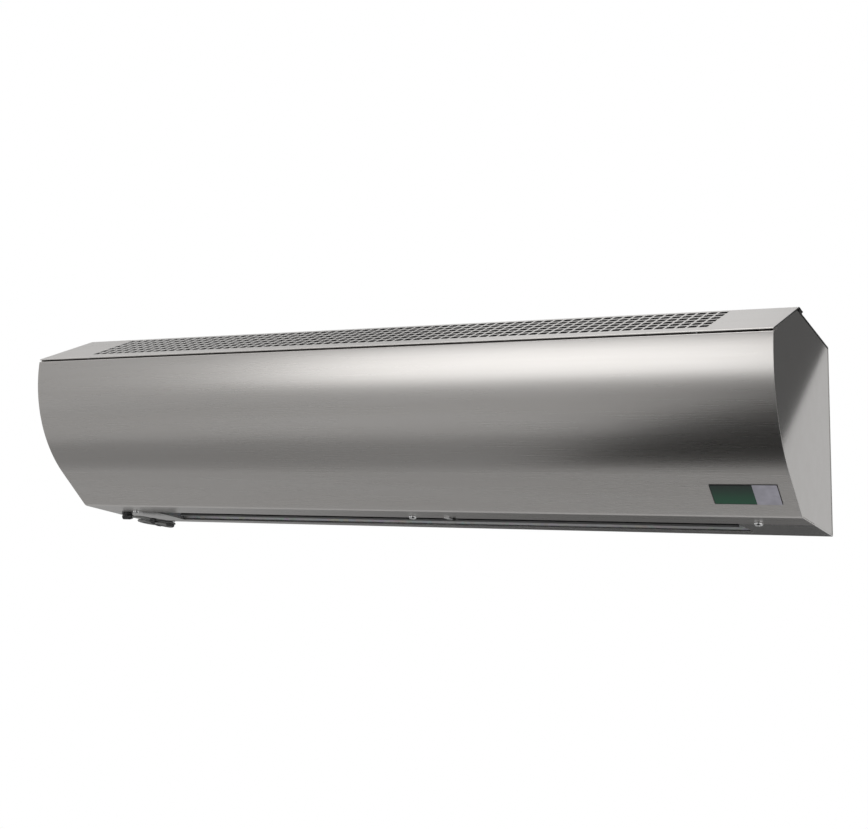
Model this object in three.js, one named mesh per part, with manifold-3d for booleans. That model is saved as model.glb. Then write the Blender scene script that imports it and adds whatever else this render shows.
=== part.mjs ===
// An air curtain for the wall above a doorway, in millimetres.
// X runs along the unit, -Y is its front, +Z is up, and the wall is the plane y = 0. The origin is
// the middle of the flat that lies on the wall. A cross-flow wheel draws air in through the slots
// of the sloping top sheet and blows it down through the outlet slot in the floor.
import * as THREE from 'three';
import { mergeVertices } from 'three/addons/utils/BufferGeometryUtils.js';
import Module from 'manifold-3d';

const wasm = await Module();
wasm.setup();

const GAP = 0.3; // between pieces that touch
const TURN = 2 * Math.PI;
const degrees = THREE.MathUtils.degToRad;

// Casing: the section is drawn in (y, z) and runs along X.
const LENGTH = 800;
const SHEET = 1.0; // stainless wrapper
const BACK_SHEET = 1.2; // galvanised back
const WALL_FLAT = 174; // height of the flat on the wall
const TOP_EDGE_DEPTH = 182; // front edge of the top sheet, from the wall
const TOP_EDGE_HEIGHT = 91.4;
const RIDGE_DEPTH = 99;
const RIDGE_HEIGHT = 116.2;
const FRONT_RADIUS = 135;
const FRONT_CENTRE_DEPTH = 49.2;
const FRONT_CENTRE_HEIGHT = 67.5;
const FRONT_WRAP = degrees(46); // the arc ends this far below level, and a flat runs on from it
const CHIN_HEIGHT = -66.5; // bend between the front and the floor
const BEND = 1.5;
const CHIN_BEND = 2.5;
const ARC_STEPS = 12;

// Edges of the sheets.
const TOP_SHEET = 1.2;
const TOP_SHADOW = 1.6; // shadow line under the front edge of the top sheet
const TOP_RETURN = 13; // the front panel's flange under the top sheet
const RIDGE_LAP = 12; // the top sheet's flange down the rear roof
const RIDGE_SHADOW = 2.4; // dark gap between that flange and the roof
const ROOF_START = 2; // the roof starts this far behind the ridge
const FLANGE_DEPTH = 40; // the front panel's flange under the floor
const END_INSET = 0.8; // end caps sit this far inside the sheets' ends
const END_SHEET = 1.0;
const END_FLANGE = 12;

// Air inlet: slots in straight rows and columns.
const SLOT_COLUMNS = 68;
const SLOT_ROWS = 6;
const SLOT_PITCH = 10;
const SLOT_LENGTH = 6.4;
const ROW_PITCH = 11.4;
const ROW_WIDTH = 7.6;
const FIRST_ROW = 19; // middle of the front row, from the front edge

// Air outlet. What is tied to the ends keeps its distance from them.
const END_BAY = 69; // from an end of the casing to the outlet
const OUTLET_HALF = LENGTH / 2 - END_BAY;
const LIP_START = 89.5; // rear edge of the outlet, from the chin
const NOZZLE_SHEET = 1.0;
const NOZZLE_FOOT = 17;
const VOLUTE_FOOT = 13;

// Cross-flow wheel and what carries it.
const WHEEL_DEPTH = 92;
const WHEEL_HEIGHT = 16;
const WHEEL_RADIUS = 46;
const WHEEL_HALF = OUTLET_HALF - 13;
const BLADES = 24;
const BLADE_SHEET = 1.4;
const BLADE_RING = 10; // radial depth of the ring of blades
const BLADE_LEAN = degrees(11); // a blade's tip leads its root by this much
const DISC_SHEET = 2;
const SHAFT_RADIUS = 4;
const RUNNING = 0.05; // radial clearance of the running fits
const TONGUE_CLEARANCE = 5;
const TONGUE_FROM = degrees(-70);
const TONGUE_TO = degrees(-118);
const TONGUE_STEPS = 4;
const THROAT_ANGLE = degrees(-62); // where the web turns into the tongue
const THROAT_RADIUS = 60;
const VOLUTE_FROM = degrees(112);
const VOLUTE_TO = degrees(-18);
const VOLUTE_STEPS = 12;
const VOLUTE_CLEARANCE = 7;
const VOLUTE_GROWTH = 19; // how much further out the scroll is at its end
const SIDE_SHEET = 1.2;
const SIDE_CLEARANCE = 2; // between the end of the outlet and a fan side
const SHAFT_HOLE = 13; // in a fan side
const HUB_WALL = 5;
const HUB_REACH = 8; // of a hub, past its disc
const SHAFT_GRIP = 24; // of a shaft, in the wheel

// Motor at the right-hand end.
const MOTOR_RADIUS = 41;
const MOTOR_LENGTH = 40;
const MOTOR_BOSS_RADIUS = 12;
const MOTOR_BOSS = 5;
const MOTOR_PLATE = 2;

// Bearing at the left-hand end.
const BEARING_RADIUS = 8;
const BEARING_WIDTH = 6;
const BUSH_RADIUS = 14;
const BUSH_WIDTH = 9;
const BUSH_STAND_OFF = 5; // between the bracket's face and the bush
const HOUSING_RADIUS = 31;
const CUP_RADIUS = 17;

// Heating rods across the duct.
const ROD_RADIUS = 4.5;
const ROD_FROM_CHIN = [48, 66];
const ROD_LIFT = 36;
const ROD_OVERHANG = 14;
const CUTOUT = { radius: 8, flange: 3, button: 5, length: 8, rise: 26 };

// What stands on the back, in the bays beside the fan.
const BAY_MARGIN = 6;
const TERMINALS = { ways: 4, depth: 14, height: 22, level: -20, well: 7 };
const BOARD = { depth: 1.6, height: 60, level: 36, post: 6, postRadius: 2 };
const RELAY = { length: 18, depth: 12, height: 15 };
const BOARD_CAN = { radius: 5, depth: 14 };
const CAPACITOR = { depth: 20, height: 28, level: -30 };

// Outlet vane.
const VANE_PLACE = 72; // from the chin, along the floor
const VANE_LIFT = 14;
const VANE_CHORD = 23;
const VANE_SHEET = 1.4;
const VANE_BEAD = 1.5;
const VANE_HALF = OUTLET_HALF - 9;
const VANE_PIN_RADIUS = 2.5;

// Screws in the front panel's flange.
const SCREW_FROM_END = 47.5;
const SCREW_PLACES = [-1, 0, 1].map((side) => side * (LENGTH / 2 - SCREW_FROM_END));
const SCREW_FROM_CHIN = 31;
const SCREW_RADIUS = 2;
const SCREW_LENGTH = 9;
const HEAD_RADIUS = 4;
const HEAD_HEIGHT = 2.4;
const SCREW_HOLE_CLEARANCE = 0.3;

// Fixing holes in the back.
const KEYHOLE_PLACE = LENGTH / 2 - 110;
const KEYHOLE_HEIGHT = 48;
const KEYHOLE_RADIUS = 5.5;
const KEYHOLE_SLOT = 2.75;
const KEYHOLE_RISE = 13;
const LOWER_HOLE_HEIGHT = -58;

// Lead: a thin cable that leaves an elbow strain relief under the left end and is folded in a hank.
const CORD_RADIUS = 1.3;
const CORD_PLACE = -(LENGTH / 2 - 20);
const CORD_FROM_CHIN = 48;
const RELIEF_RADIUS = 3.2;
const RELIEF_REACH = 8; // end of the snout, from the stem's axis
const RELIEF_STEM_RADIUS = 4;
const RELIEF_DROP = 4.2; // middle of the snout, below the floor
const HANK_PLACE = { x: -(LENGTH / 2 - 51.5), fromChin: 63, drop: 7.6 };
const HANK_TURN = degrees(18);
const HANK_DROOP = degrees(5);
const HANK_HALF_RUN = 10;
const HANK_INNER = 7.5;
const HANK_STEP = 4.1; // the spiral's growth in a loop
const HANK_LAYER = 3.4;
const HANK_DRAWN = 2.6; // how far the tie draws the runs in
const RUN_STEPS = 5;
const FOLD_STEPS = 7;
const TAIL = 7; // of the free end, past its last run
const TIE_WIDTH = 4.5;
const TIE_SHEET = 1;
const PLUG = { length: 8, width: 5, height: 3.4 };

const material = (color, roughness, metalness) =>
  new THREE.MeshStandardMaterial({ color, roughness, metalness });
const stainless = material(0xb9b7b3, 0.34, 1);
const galvanised = material(0x9a9c9d, 0.5, 1);
const aluminium = material(0xc9cbcc, 0.4, 1);
const chrome = material(0xd5d5d4, 0.2, 1);
const blackPlastic = material(0x1c1d1e, 0.55, 0);
const rubber = material(0x141414, 0.8, 0);
const motorPaint = material(0x2d3032, 0.5, 0.3);
const rodSteel = material(0x5e5a55, 0.45, 1);
const board = material(0x1f5a34, 0.6, 0);
const cream = material(0xd9d2bd, 0.5, 0);
const cable = material(0x2b2c2d, 0.45, 0);

const casing = new THREE.Group();

// ---- Tools -------------------------------------------------------------------------------------

const point = (y, z) => new THREE.Vector2(y, z);
const SECTION = new THREE.Matrix4().makeBasis(
  new THREE.Vector3(0, 1, 0),
  new THREE.Vector3(0, 0, 1),
  new THREE.Vector3(1, 0, 0),
);

// A section in (y, z), drawn along X.
function along(outline, from, to) {
  const shape = outline.isShape ? outline : new THREE.Shape(outline);
  const settings = { depth: to - from, bevelEnabled: false, curveSegments: 8 };
  return new THREE.ExtrudeGeometry(shape, settings).applyMatrix4(SECTION).translate(from, 0, 0);
}

function solid(geometry) {
  const bare = geometry.clone();
  bare.deleteAttribute('normal');
  bare.deleteAttribute('uv');
  const merged = mergeVertices(bare, 1e-4);
  return new wasm.Manifold(new wasm.Mesh({
    numProp: 3,
    vertProperties: new Float32Array(merged.attributes.position.array),
    triVerts: new Uint32Array(merged.index.array),
  }));
}

function geometryOf(shape) {
  const { vertProperties, triVerts } = shape.getMesh();
  const geometry = new THREE.BufferGeometry();
  geometry.setAttribute('position', new THREE.BufferAttribute(new Float32Array(vertProperties), 3));
  geometry.setIndex(new THREE.BufferAttribute(new Uint32Array(triVerts), 1));
  geometry.computeVertexNormals();
  return geometry;
}

const join = (...shapes) => wasm.Manifold.union(shapes);

function add(name, shape, finish, parent = casing) {
  const mesh = new THREE.Mesh(shape.isBufferGeometry ? shape : geometryOf(shape), finish);
  mesh.name = name;
  parent.add(mesh);
  return mesh;
}

// A turned piece about an axis along X: pairs of (x, radius), closed on the axis.
function turned(profile, sides = 24) {
  const outline = profile.map(([x, radius]) => new THREE.Vector2(radius, x));
  return new THREE.LatheGeometry(outline, sides).rotateZ(-Math.PI / 2);
}

function rod(radius, from, to, sides = 24) {
  return turned([[from, 0], [from, radius], [to, radius], [to, 0]], sides);
}

const atWheel = (geometry) => geometry.translate(0, -WHEEL_DEPTH, WHEEL_HEIGHT);

// The path moved to its left by a distance, with mitred corners.
function offset(path, distance) {
  return path.map((here, i) => {
    const before = i > 0 ? here.clone().sub(path[i - 1]).normalize() : null;
    const after = i < path.length - 1 ? path[i + 1].clone().sub(here).normalize() : null;
    const arriving = before ?? after;
    const leaving = after ?? before;
    const normal = point(-(arriving.y + leaving.y), arriving.x + leaving.x).normalize();
    const mitre = Math.sqrt((1 + arriving.dot(leaving)) / 2);
    return here.clone().addScaledVector(normal, distance / mitre);
  });
}

// The closed outline of a sheet whose face follows the path, its thickness to the path's left,
// with an optional clearance all round.
function sheet(path, thickness, clearance = 0) {
  const first = path[0].clone().sub(path[1]).setLength(clearance);
  const last = path.at(-1).clone().sub(path.at(-2)).setLength(clearance);
  const longer = [path[0].clone().add(first), ...path.slice(1, -1), path.at(-1).clone().add(last)];
  return [...offset(longer, -clearance), ...offset(longer, thickness + clearance).reverse()];
}

// A path with each corner that has a radius turned into an arc.
function rounded(corners, steps = 3) {
  const places = corners.map((corner) => corner.at ?? corner);
  return corners.flatMap((corner, i) => {
    if (!corner.radius) return [places[i]];
    const here = places[i];
    const back = places[i - 1].clone().sub(here).normalize();
    const on = places[i + 1].clone().sub(here).normalize();
    const half = Math.acos(back.dot(on)) / 2;
    const inward = back.clone().add(on).normalize();
    const centre = here.clone().addScaledVector(inward, corner.radius / Math.sin(half));
    const start = here.clone().addScaledVector(back, corner.radius / Math.tan(half)).sub(centre);
    const end = here.clone().addScaledVector(on, corner.radius / Math.tan(half)).sub(centre);
    const sweep = Math.atan2(start.cross(end), start.dot(end));
    return Array.from({ length: steps + 1 }, (_, k) =>
      start.clone().rotateAround(point(0, 0), (sweep * k) / steps).add(centre));
  });
}

const bend = (at, radius = BEND) => ({ at, radius });

// ---- Reference places of the section -----------------------------------------------------------

const topEdge = point(-TOP_EDGE_DEPTH, TOP_EDGE_HEIGHT);
const ridge = point(-RIDGE_DEPTH, RIDGE_HEIGHT);
const wallTop = point(0, WALL_FLAT / 2);
const wallBottom = point(0, -WALL_FLAT / 2);
const frontCentre = point(-FRONT_CENTRE_DEPTH, FRONT_CENTRE_HEIGHT);

// A place on the front's arc, at an angle below level.
function onFront(angle) {
  const out = point(-Math.cos(angle), -Math.sin(angle));
  return frontCentre.clone().addScaledVector(out, FRONT_RADIUS);
}

const arcEnd = onFront(FRONT_WRAP);
const chin = point(
  arcEnd.x + (arcEnd.y - CHIN_HEIGHT) * Math.tan(FRONT_WRAP),
  CHIN_HEIGHT,
);

// A straight face of the section: places are given along it and above it, to its left.
function face(from, to) {
  const way = to.clone().sub(from).normalize();
  const up = point(-way.y, way.x);
  const at = (distance, lift = 0) =>
    from.clone().addScaledVector(way, distance).addScaledVector(up, lift);
  return { at, way, length: from.distanceTo(to), angle: Math.atan2(way.y, way.x) };
}

const top = face(topEdge, ridge); // lift is out of the casing
const lap = face(ridge, wallTop); // the plane of the ridge flange, lift out of the casing
const floor = face(chin, wallBottom); // lift is into the casing
const roofStart = lap.at(ROOF_START, -(TOP_SHEET + RIDGE_SHADOW));
const roof = face(roofStart, wallTop);

// Where the front panel's top bend lies: on the arc, under the edge of the top sheet.
const cornerHeight = TOP_EDGE_HEIGHT - TOP_SHEET - TOP_SHADOW;
const frontStart = -Math.asin((cornerHeight - FRONT_CENTRE_HEIGHT) / FRONT_RADIUS);
const frontCorner = onFront(frontStart);

function frontArc() {
  const angle = (k) => frontStart + ((FRONT_WRAP - frontStart) * k) / ARC_STEPS;
  return Array.from({ length: ARC_STEPS }, (_, k) => onFront(angle(k + 1)));
}

// The middle of an end cap's apex: where the top sheet's plane meets the roof's.
function apex() {
  const gapAcross = roofStart.clone().sub(topEdge);
  const distance = gapAcross.cross(roof.way) / top.way.cross(roof.way);
  return top.at(distance);
}

// The outline of what fits inside the casing's sheets, moved in by an inset.
function inside(inset) {
  const corners = [topEdge, apex(), wallTop, wallBottom, chin, ...frontArc().reverse()];
  const ring = [corners.at(-1), ...corners, corners[0]];
  return offset(ring, -inset).slice(1, -1);
}

const INSIDE = Math.max(SHEET, BACK_SHEET, TOP_SHEET) + GAP;
const SIDE_FACE = OUTLET_HALF + SIDE_CLEARANCE; // inner face of a fan side
const SIDE_OUTER = SIDE_FACE + SIDE_SHEET;
const CAP_INNER = LENGTH / 2 - END_INSET - END_FLANGE;

// A frame on the floor: its Y runs from the chin to the wall, its Z into the casing.
function floorFrame(x, fromChin, lift = 0) {
  const place = floor.at(fromChin, lift);
  const frame = new THREE.Group();
  frame.position.set(x, place.x, place.y);
  frame.rotation.x = floor.angle;
  frame.updateMatrixWorld(true);
  return frame;
}

// A cylinder square to the floor, for cutting a hole through its sheets.
function floorDrill(radius, x, fromChin, reach = 12) {
  const drill = new THREE.CylinderGeometry(radius, radius, reach, 20).rotateX(Math.PI / 2);
  return solid(drill.applyMatrix4(floorFrame(x, fromChin).matrixWorld));
}

// ---- Casing ------------------------------------------------------------------------------------

const frontPath = rounded([
  frontCorner.clone().addScaledVector(top.way, TOP_RETURN),
  bend(frontCorner),
  ...frontArc(),
  bend(chin, CHIN_BEND),
  floor.at(FLANGE_DEPTH),
]);

function frontPanel() {
  const wrapper = solid(along(sheet(frontPath, SHEET), -LENGTH / 2, LENGTH / 2));
  const notchLength = LENGTH / 2 - CAP_INNER + GAP;
  const notch = (side) => {
    const box = new THREE.BoxGeometry(2 * notchLength, 2 * TOP_RETURN, 2 * TOP_RETURN);
    box.translate(0, TOP_RETURN + SHEET + GAP, 0).rotateX(top.angle);
    return solid(box.translate((side * LENGTH) / 2, frontCorner.x, frontCorner.y));
  };
  const holes = SCREW_PLACES.map((x) =>
    floorDrill(SCREW_RADIUS + SCREW_HOLE_CLEARANCE, x, SCREW_FROM_CHIN));
  return wrapper.subtract(join(notch(-1), notch(1), ...holes));
}

function slotCutters() {
  const cutters = [];
  for (let row = 0; row < SLOT_ROWS; row += 1) {
    const place = top.at(FIRST_ROW + row * ROW_PITCH);
    for (let column = 0; column < SLOT_COLUMNS; column += 1) {
      const x = (column - (SLOT_COLUMNS - 1) / 2) * SLOT_PITCH;
      const cutter = new THREE.BoxGeometry(SLOT_LENGTH, ROW_WIDTH, 4 * TOP_SHEET);
      cutters.push(solid(cutter.rotateX(top.angle).translate(x, place.x, place.y)));
    }
  }
  return join(...cutters);
}

function topPanel() {
  const path = [topEdge, bend(ridge), lap.at(RIDGE_LAP)];
  const outline = sheet(rounded(path).reverse(), TOP_SHEET);
  return solid(along(outline, -LENGTH / 2, LENGTH / 2)).subtract(slotCutters());
}

function keyhole(x) {
  const ring = new THREE.CylinderGeometry(KEYHOLE_RADIUS, KEYHOLE_RADIUS, 8, 20);
  const neck = new THREE.BoxGeometry(2 * KEYHOLE_SLOT, 8, KEYHOLE_RISE).translate(0, 0, KEYHOLE_RISE / 2);
  const crown = new THREE.CylinderGeometry(KEYHOLE_SLOT, KEYHOLE_SLOT, 8, 16);
  const cutters = [ring, neck, crown.translate(0, 0, KEYHOLE_RISE)];
  return join(...cutters.map((cutter) => solid(cutter.translate(x, 0, KEYHOLE_HEIGHT))));
}

function backPlate() {
  const path = rounded([
    roofStart,
    bend(wallTop),
    bend(wallBottom),
    floor.at(FLANGE_DEPTH + GAP),
  ]);
  const plate = solid(along(sheet(path.reverse(), BACK_SHEET), -LENGTH / 2, LENGTH / 2));
  const outlet = new THREE.BoxGeometry(2 * OUTLET_HALF, 2 * (LIP_START - FLANGE_DEPTH), 8);
  const placed = outlet.applyMatrix4(floorFrame(0, FLANGE_DEPTH).matrixWorld);
  const lower = [-1, 1].map((side) => {
    const drill = new THREE.CylinderGeometry(KEYHOLE_SLOT, KEYHOLE_SLOT, 8, 16);
    return solid(drill.translate(side * KEYHOLE_PLACE, 0, LOWER_HOLE_HEIGHT));
  });
  const stem = floorDrill(RELIEF_STEM_RADIUS + GAP, CORD_PLACE, CORD_FROM_CHIN);
  return plate.subtract(
    join(solid(placed), keyhole(-KEYHOLE_PLACE), keyhole(KEYHOLE_PLACE), ...lower, stem),
  );
}

function endCap(side) {
  const outer = LENGTH / 2 - END_INSET;
  const pan = solid(along(inside(INSIDE), CAP_INNER, outer));
  const hollow = solid(along(inside(INSIDE + END_SHEET), CAP_INNER - 1, outer - END_SHEET));
  const cap = pan.subtract(hollow);
  return side > 0 ? cap : cap.mirror([1, 0, 0]);
}

// ---- Air path ----------------------------------------------------------------------------------

const wheelCentre = point(-WHEEL_DEPTH, WHEEL_HEIGHT);

function aroundWheel(radius, angle) {
  return wheelCentre.clone().add(point(Math.cos(angle), Math.sin(angle)).multiplyScalar(radius));
}

// The nozzle's front wall: a foot on the front panel's flange, a web, and a tongue under the wheel.
const NOZZLE_LIFT = BACK_SHEET + GAP;
const tongueRadius = WHEEL_RADIUS + TONGUE_CLEARANCE;
const tongueAngle = (k) => TONGUE_FROM + ((TONGUE_TO - TONGUE_FROM) * k) / TONGUE_STEPS;
const tongue = Array.from({ length: TONGUE_STEPS + 1 }, (_, k) =>
  aroundWheel(tongueRadius, tongueAngle(k)));
const nozzlePath = rounded([
  floor.at(FLANGE_DEPTH - NOZZLE_FOOT, NOZZLE_LIFT),
  bend(floor.at(FLANGE_DEPTH, NOZZLE_LIFT)),
  bend(aroundWheel(THROAT_RADIUS, THROAT_ANGLE), 2 * BEND),
  ...tongue,
]);

function nozzleFront() {
  const reach = CAP_INNER - GAP;
  const wall = solid(along(sheet(nozzlePath, NOZZLE_SHEET), -reach, reach));
  const tap = SCREW_PLACES.map((x) => floorDrill(SCREW_RADIUS + RUNNING, x, SCREW_FROM_CHIN));
  return wall.subtract(join(...tap));
}

// The scroll behind the wheel: it opens steadily, then drops to a foot on the rear lip.
function volutePath() {
  const scroll = Array.from({ length: VOLUTE_STEPS + 1 }, (_, k) => {
    const part = k / VOLUTE_STEPS;
    const radius = WHEEL_RADIUS + VOLUTE_CLEARANCE + VOLUTE_GROWTH * part;
    return aroundWheel(radius, VOLUTE_FROM + (VOLUTE_TO - VOLUTE_FROM) * part);
  });
  const heel = floor.at(LIP_START + 1, NOZZLE_LIFT);
  return rounded([...scroll, bend(heel), floor.at(LIP_START + 1 + VOLUTE_FOOT, NOZZLE_LIFT)]);
}

function volute() {
  const reach = SIDE_FACE - GAP;
  return solid(along(sheet(volutePath(), NOZZLE_SHEET), -reach, reach));
}

const rodPlaces = ROD_FROM_CHIN.map((fromChin) => floor.at(fromChin, ROD_LIFT));

function fanSide(side) {
  const plate = solid(along(inside(INSIDE), SIDE_FACE, SIDE_OUTER));
  const through = (outline) => solid(along(outline, SIDE_FACE - 1, SIDE_OUTER + 1));
  const cutters = [
    through(sheet(nozzlePath, NOZZLE_SHEET, GAP)),
    through(sheet(frontPath, SHEET, GAP)),
    solid(atWheel(rod(SHAFT_HOLE, SIDE_FACE - 1, SIDE_OUTER + 1))),
    ...rodPlaces.map((place) =>
      solid(rod(ROD_RADIUS + GAP, SIDE_FACE - 1, SIDE_OUTER + 1, 14).translate(0, place.x, place.y))),
    solid(onVane(rod(VANE_PIN_RADIUS + RUNNING, SIDE_FACE - 1, SIDE_OUTER + 1, 16))),
  ];
  const cut = plate.subtract(join(...cutters));
  const largest = cut.decompose().sort((a, b) => b.volume() - a.volume())[0];
  return side > 0 ? largest : largest.mirror([1, 0, 0]);
}

const vaneAxis = floor.at(VANE_PLACE, VANE_LIFT);

function onVane(geometry) {
  return geometry.translate(0, vaneAxis.x, vaneAxis.y);
}

// The vane: a plate square to the floor, with a rolled bead on its lower edge and a pin each end.
function vane() {
  const half = VANE_CHORD / 2;
  const plate = new THREE.BoxGeometry(2 * VANE_HALF, VANE_SHEET, VANE_CHORD);
  const bead = rod(VANE_BEAD, -VANE_HALF, VANE_HALF, 10).translate(0, 0, -half + VANE_BEAD / 2);
  const spine = rod(VANE_PIN_RADIUS, -SIDE_OUTER, SIDE_OUTER, 16);
  const parts = [plate, bead, spine].map((part) => solid(onVane(part.rotateX(floor.angle))));
  return join(...parts);
}

// ---- Wheel and its drive -----------------------------------------------------------------------

// One blade: a thin arc that leans forward from its root to its tip.
function blade(angle) {
  const inner = WHEEL_RADIUS - BLADE_RING;
  const tip = WHEEL_RADIUS - 0.5;
  const spine = [0, 0.5, 1].map((part) => {
    const radius = inner + (tip - inner) * part;
    const lead = BLADE_LEAN * part * part;
    return point(radius * Math.cos(angle + lead), radius * Math.sin(angle + lead));
  });
  return solid(along(sheet(spine, BLADE_SHEET), DISC_SHEET / 2 - WHEEL_HALF, WHEEL_HALF - DISC_SHEET / 2));
}

function wheel() {
  const blades = Array.from({ length: BLADES }, (_, k) => blade((TURN * k) / BLADES));
  const disc = (x) => solid(rod(WHEEL_RADIUS, x - DISC_SHEET / 2, x + DISC_SHEET / 2, BLADES * 2));
  const ends = [disc(-WHEEL_HALF + DISC_SHEET / 2), disc(WHEEL_HALF - DISC_SHEET / 2)];
  const ring = (x) => disc(x).subtract(
    solid(rod(WHEEL_RADIUS - BLADE_RING - 4, x - DISC_SHEET, x + DISC_SHEET)));
  const hubs = [-1, 1].map((side) => {
    const hub = rod(SHAFT_RADIUS + HUB_WALL, WHEEL_HALF - DISC_SHEET / 2, WHEEL_HALF + HUB_REACH, 20);
    return solid(side > 0 ? hub : hub.rotateZ(Math.PI));
  });
  const middles = [-WHEEL_HALF / 3, WHEEL_HALF / 3].map(ring);
  const whole = join(...blades, ...ends, ...middles, ...hubs);
  const past = WHEEL_HALF + HUB_REACH + 1;
  const bore = solid(rod(SHAFT_RADIUS + GAP, -past, past, 20));
  return whole.subtract(bore).translate([0, -WHEEL_DEPTH, WHEEL_HEIGHT]);
}

const BRACKET_FACE = SIDE_OUTER + GAP;
const BEARING_START = BRACKET_FACE + BUSH_STAND_OFF;
const SHAFT_IN = WHEEL_HALF - SHAFT_GRIP;

function leftShaft() {
  const end = BEARING_START + BUSH_WIDTH + 4;
  return atWheel(turned([[-end, 0], [-end, SHAFT_RADIUS - 0.6], [-end + 0.6, SHAFT_RADIUS],
    [-SHAFT_IN, SHAFT_RADIUS], [-SHAFT_IN, 0]]));
}

function bearing() {
  const from = -BEARING_START - BUSH_WIDTH / 2 - BEARING_WIDTH / 2;
  const to = from + BEARING_WIDTH;
  const ring = solid(rod(BEARING_RADIUS, from, to));
  return ring.subtract(solid(rod(SHAFT_RADIUS + RUNNING, from - 1, to + 1)))
    .translate([0, -WHEEL_DEPTH, WHEEL_HEIGHT]);
}

function bearingBush() {
  const from = -BEARING_START - BUSH_WIDTH;
  const to = -BEARING_START;
  const ring = solid(turned([[from, 0], [from, BUSH_RADIUS - 1], [from + 1, BUSH_RADIUS],
    [to - 1, BUSH_RADIUS], [to, BUSH_RADIUS - 1], [to, 0]], 20));
  const seat = solid(rod(BEARING_RADIUS + GAP, from + 1, to - 1));
  const hole = solid(rod(SHAFT_RADIUS + 1.5, from - 1, to + 1));
  return ring.subtract(join(seat, hole)).translate([0, -WHEEL_DEPTH, WHEEL_HEIGHT]);
}

// A pressed housing that stands on the left fan side and holds the bush.
function bearingBracket() {
  const plateTo = -BRACKET_FACE;
  const plateFrom = plateTo - 1.5;
  const outer = -BEARING_START - BUSH_WIDTH + 2;
  const plate = solid(rod(HOUSING_RADIUS, plateFrom, plateTo, 28));
  const cup = solid(rod(CUP_RADIUS, outer, plateTo, 28));
  const seat = solid(rod(BUSH_RADIUS + GAP, outer - 1, -BEARING_START + GAP, 20));
  const hole = solid(rod(SHAFT_HOLE - 3, outer - 1, plateTo + 1, 20));
  return join(plate, cup).subtract(join(seat, hole)).translate([0, -WHEEL_DEPTH, WHEEL_HEIGHT]);
}

const MOTOR_FACE = BRACKET_FACE + MOTOR_PLATE + GAP;

function motorBracket() {
  const plate = solid(rod(MOTOR_RADIUS + 9, BRACKET_FACE, BRACKET_FACE + MOTOR_PLATE, 40));
  const hole = solid(rod(MOTOR_BOSS_RADIUS + GAP, BRACKET_FACE - 1, MOTOR_FACE + 1));
  const slots = [0, 1, 2].map((k) => {
    const slot = new THREE.CylinderGeometry(7, 7, 10, 16).rotateZ(Math.PI / 2);
    const angle = (TURN * k) / 3 + Math.PI / 6;
    const reach = (MOTOR_BOSS_RADIUS + MOTOR_RADIUS) / 2;
    slot.translate(BRACKET_FACE, reach * Math.cos(angle), reach * Math.sin(angle));
    return solid(slot);
  });
  return plate.subtract(join(hole, ...slots)).translate([0, -WHEEL_DEPTH, WHEEL_HEIGHT]);
}

// The motor: a can with two domed ends, a boss at the front, and the hole for its shaft.
function motorBody() {
  const from = MOTOR_FACE;
  const to = from + MOTOR_LENGTH;
  const nose = from - MOTOR_BOSS;
  const can = solid(turned([[nose, 0], [nose, MOTOR_BOSS_RADIUS], [from, MOTOR_BOSS_RADIUS],
    [from, MOTOR_RADIUS - 4], [from + 4, MOTOR_RADIUS], [to - 6, MOTOR_RADIUS],
    [to, MOTOR_RADIUS - 8], [to, 0]], 32));
  const hole = solid(rod(SHAFT_RADIUS + RUNNING, nose - 1, to - 3));
  return can.subtract(hole).translate([0, -WHEEL_DEPTH, WHEEL_HEIGHT]);
}

function motorShaft() {
  return atWheel(rod(SHAFT_RADIUS, SHAFT_IN, MOTOR_FACE + MOTOR_LENGTH - 3 - 2));
}

// ---- Heating and electrics ---------------------------------------------------------------------

function heatingRod(place) {
  const reach = SIDE_OUTER + ROD_OVERHANG;
  const neck = SIDE_OUTER + ROD_OVERHANG / 3;
  const side = [[neck, ROD_RADIUS], [neck, ROD_RADIUS / 3], [reach, ROD_RADIUS / 3]];
  const left = side.map(([x, radius]) => [-x, radius]).reverse();
  const bar = turned([[-reach, 0], ...left, ...side, [reach, 0]], 14);
  return bar.translate(0, place.x, place.y);
}

// A bay is the space between a fan side and an end cap. What stands in one fills its length.
const bayLength = CAP_INNER - SIDE_OUTER - 2 * BAY_MARGIN;
const bayMiddle = (CAP_INNER + SIDE_OUTER) / 2;
const backFace = -BACK_SHEET - GAP;

// A box in a bay, by its size, its middle's height and how far it stands off the back.
function inBay(side, { length = bayLength, depth, height }, level, standOff = 0, shift = 0) {
  const box = new THREE.BoxGeometry(length, depth, height);
  return box.translate(side * bayMiddle + shift, backFace - standOff - depth / 2, level);
}

function terminalBlock() {
  const { ways, well, height, depth, level } = TERMINALS;
  const pitch = bayLength / ways;
  const wells = Array.from({ length: ways }, (_, k) => {
    const size = { length: well, depth: well, height: 2 * height };
    return solid(inBay(-1, size, level, depth - well / 2, (k - (ways - 1) / 2) * pitch));
  });
  return solid(inBay(-1, TERMINALS, level)).subtract(join(...wells));
}

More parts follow.
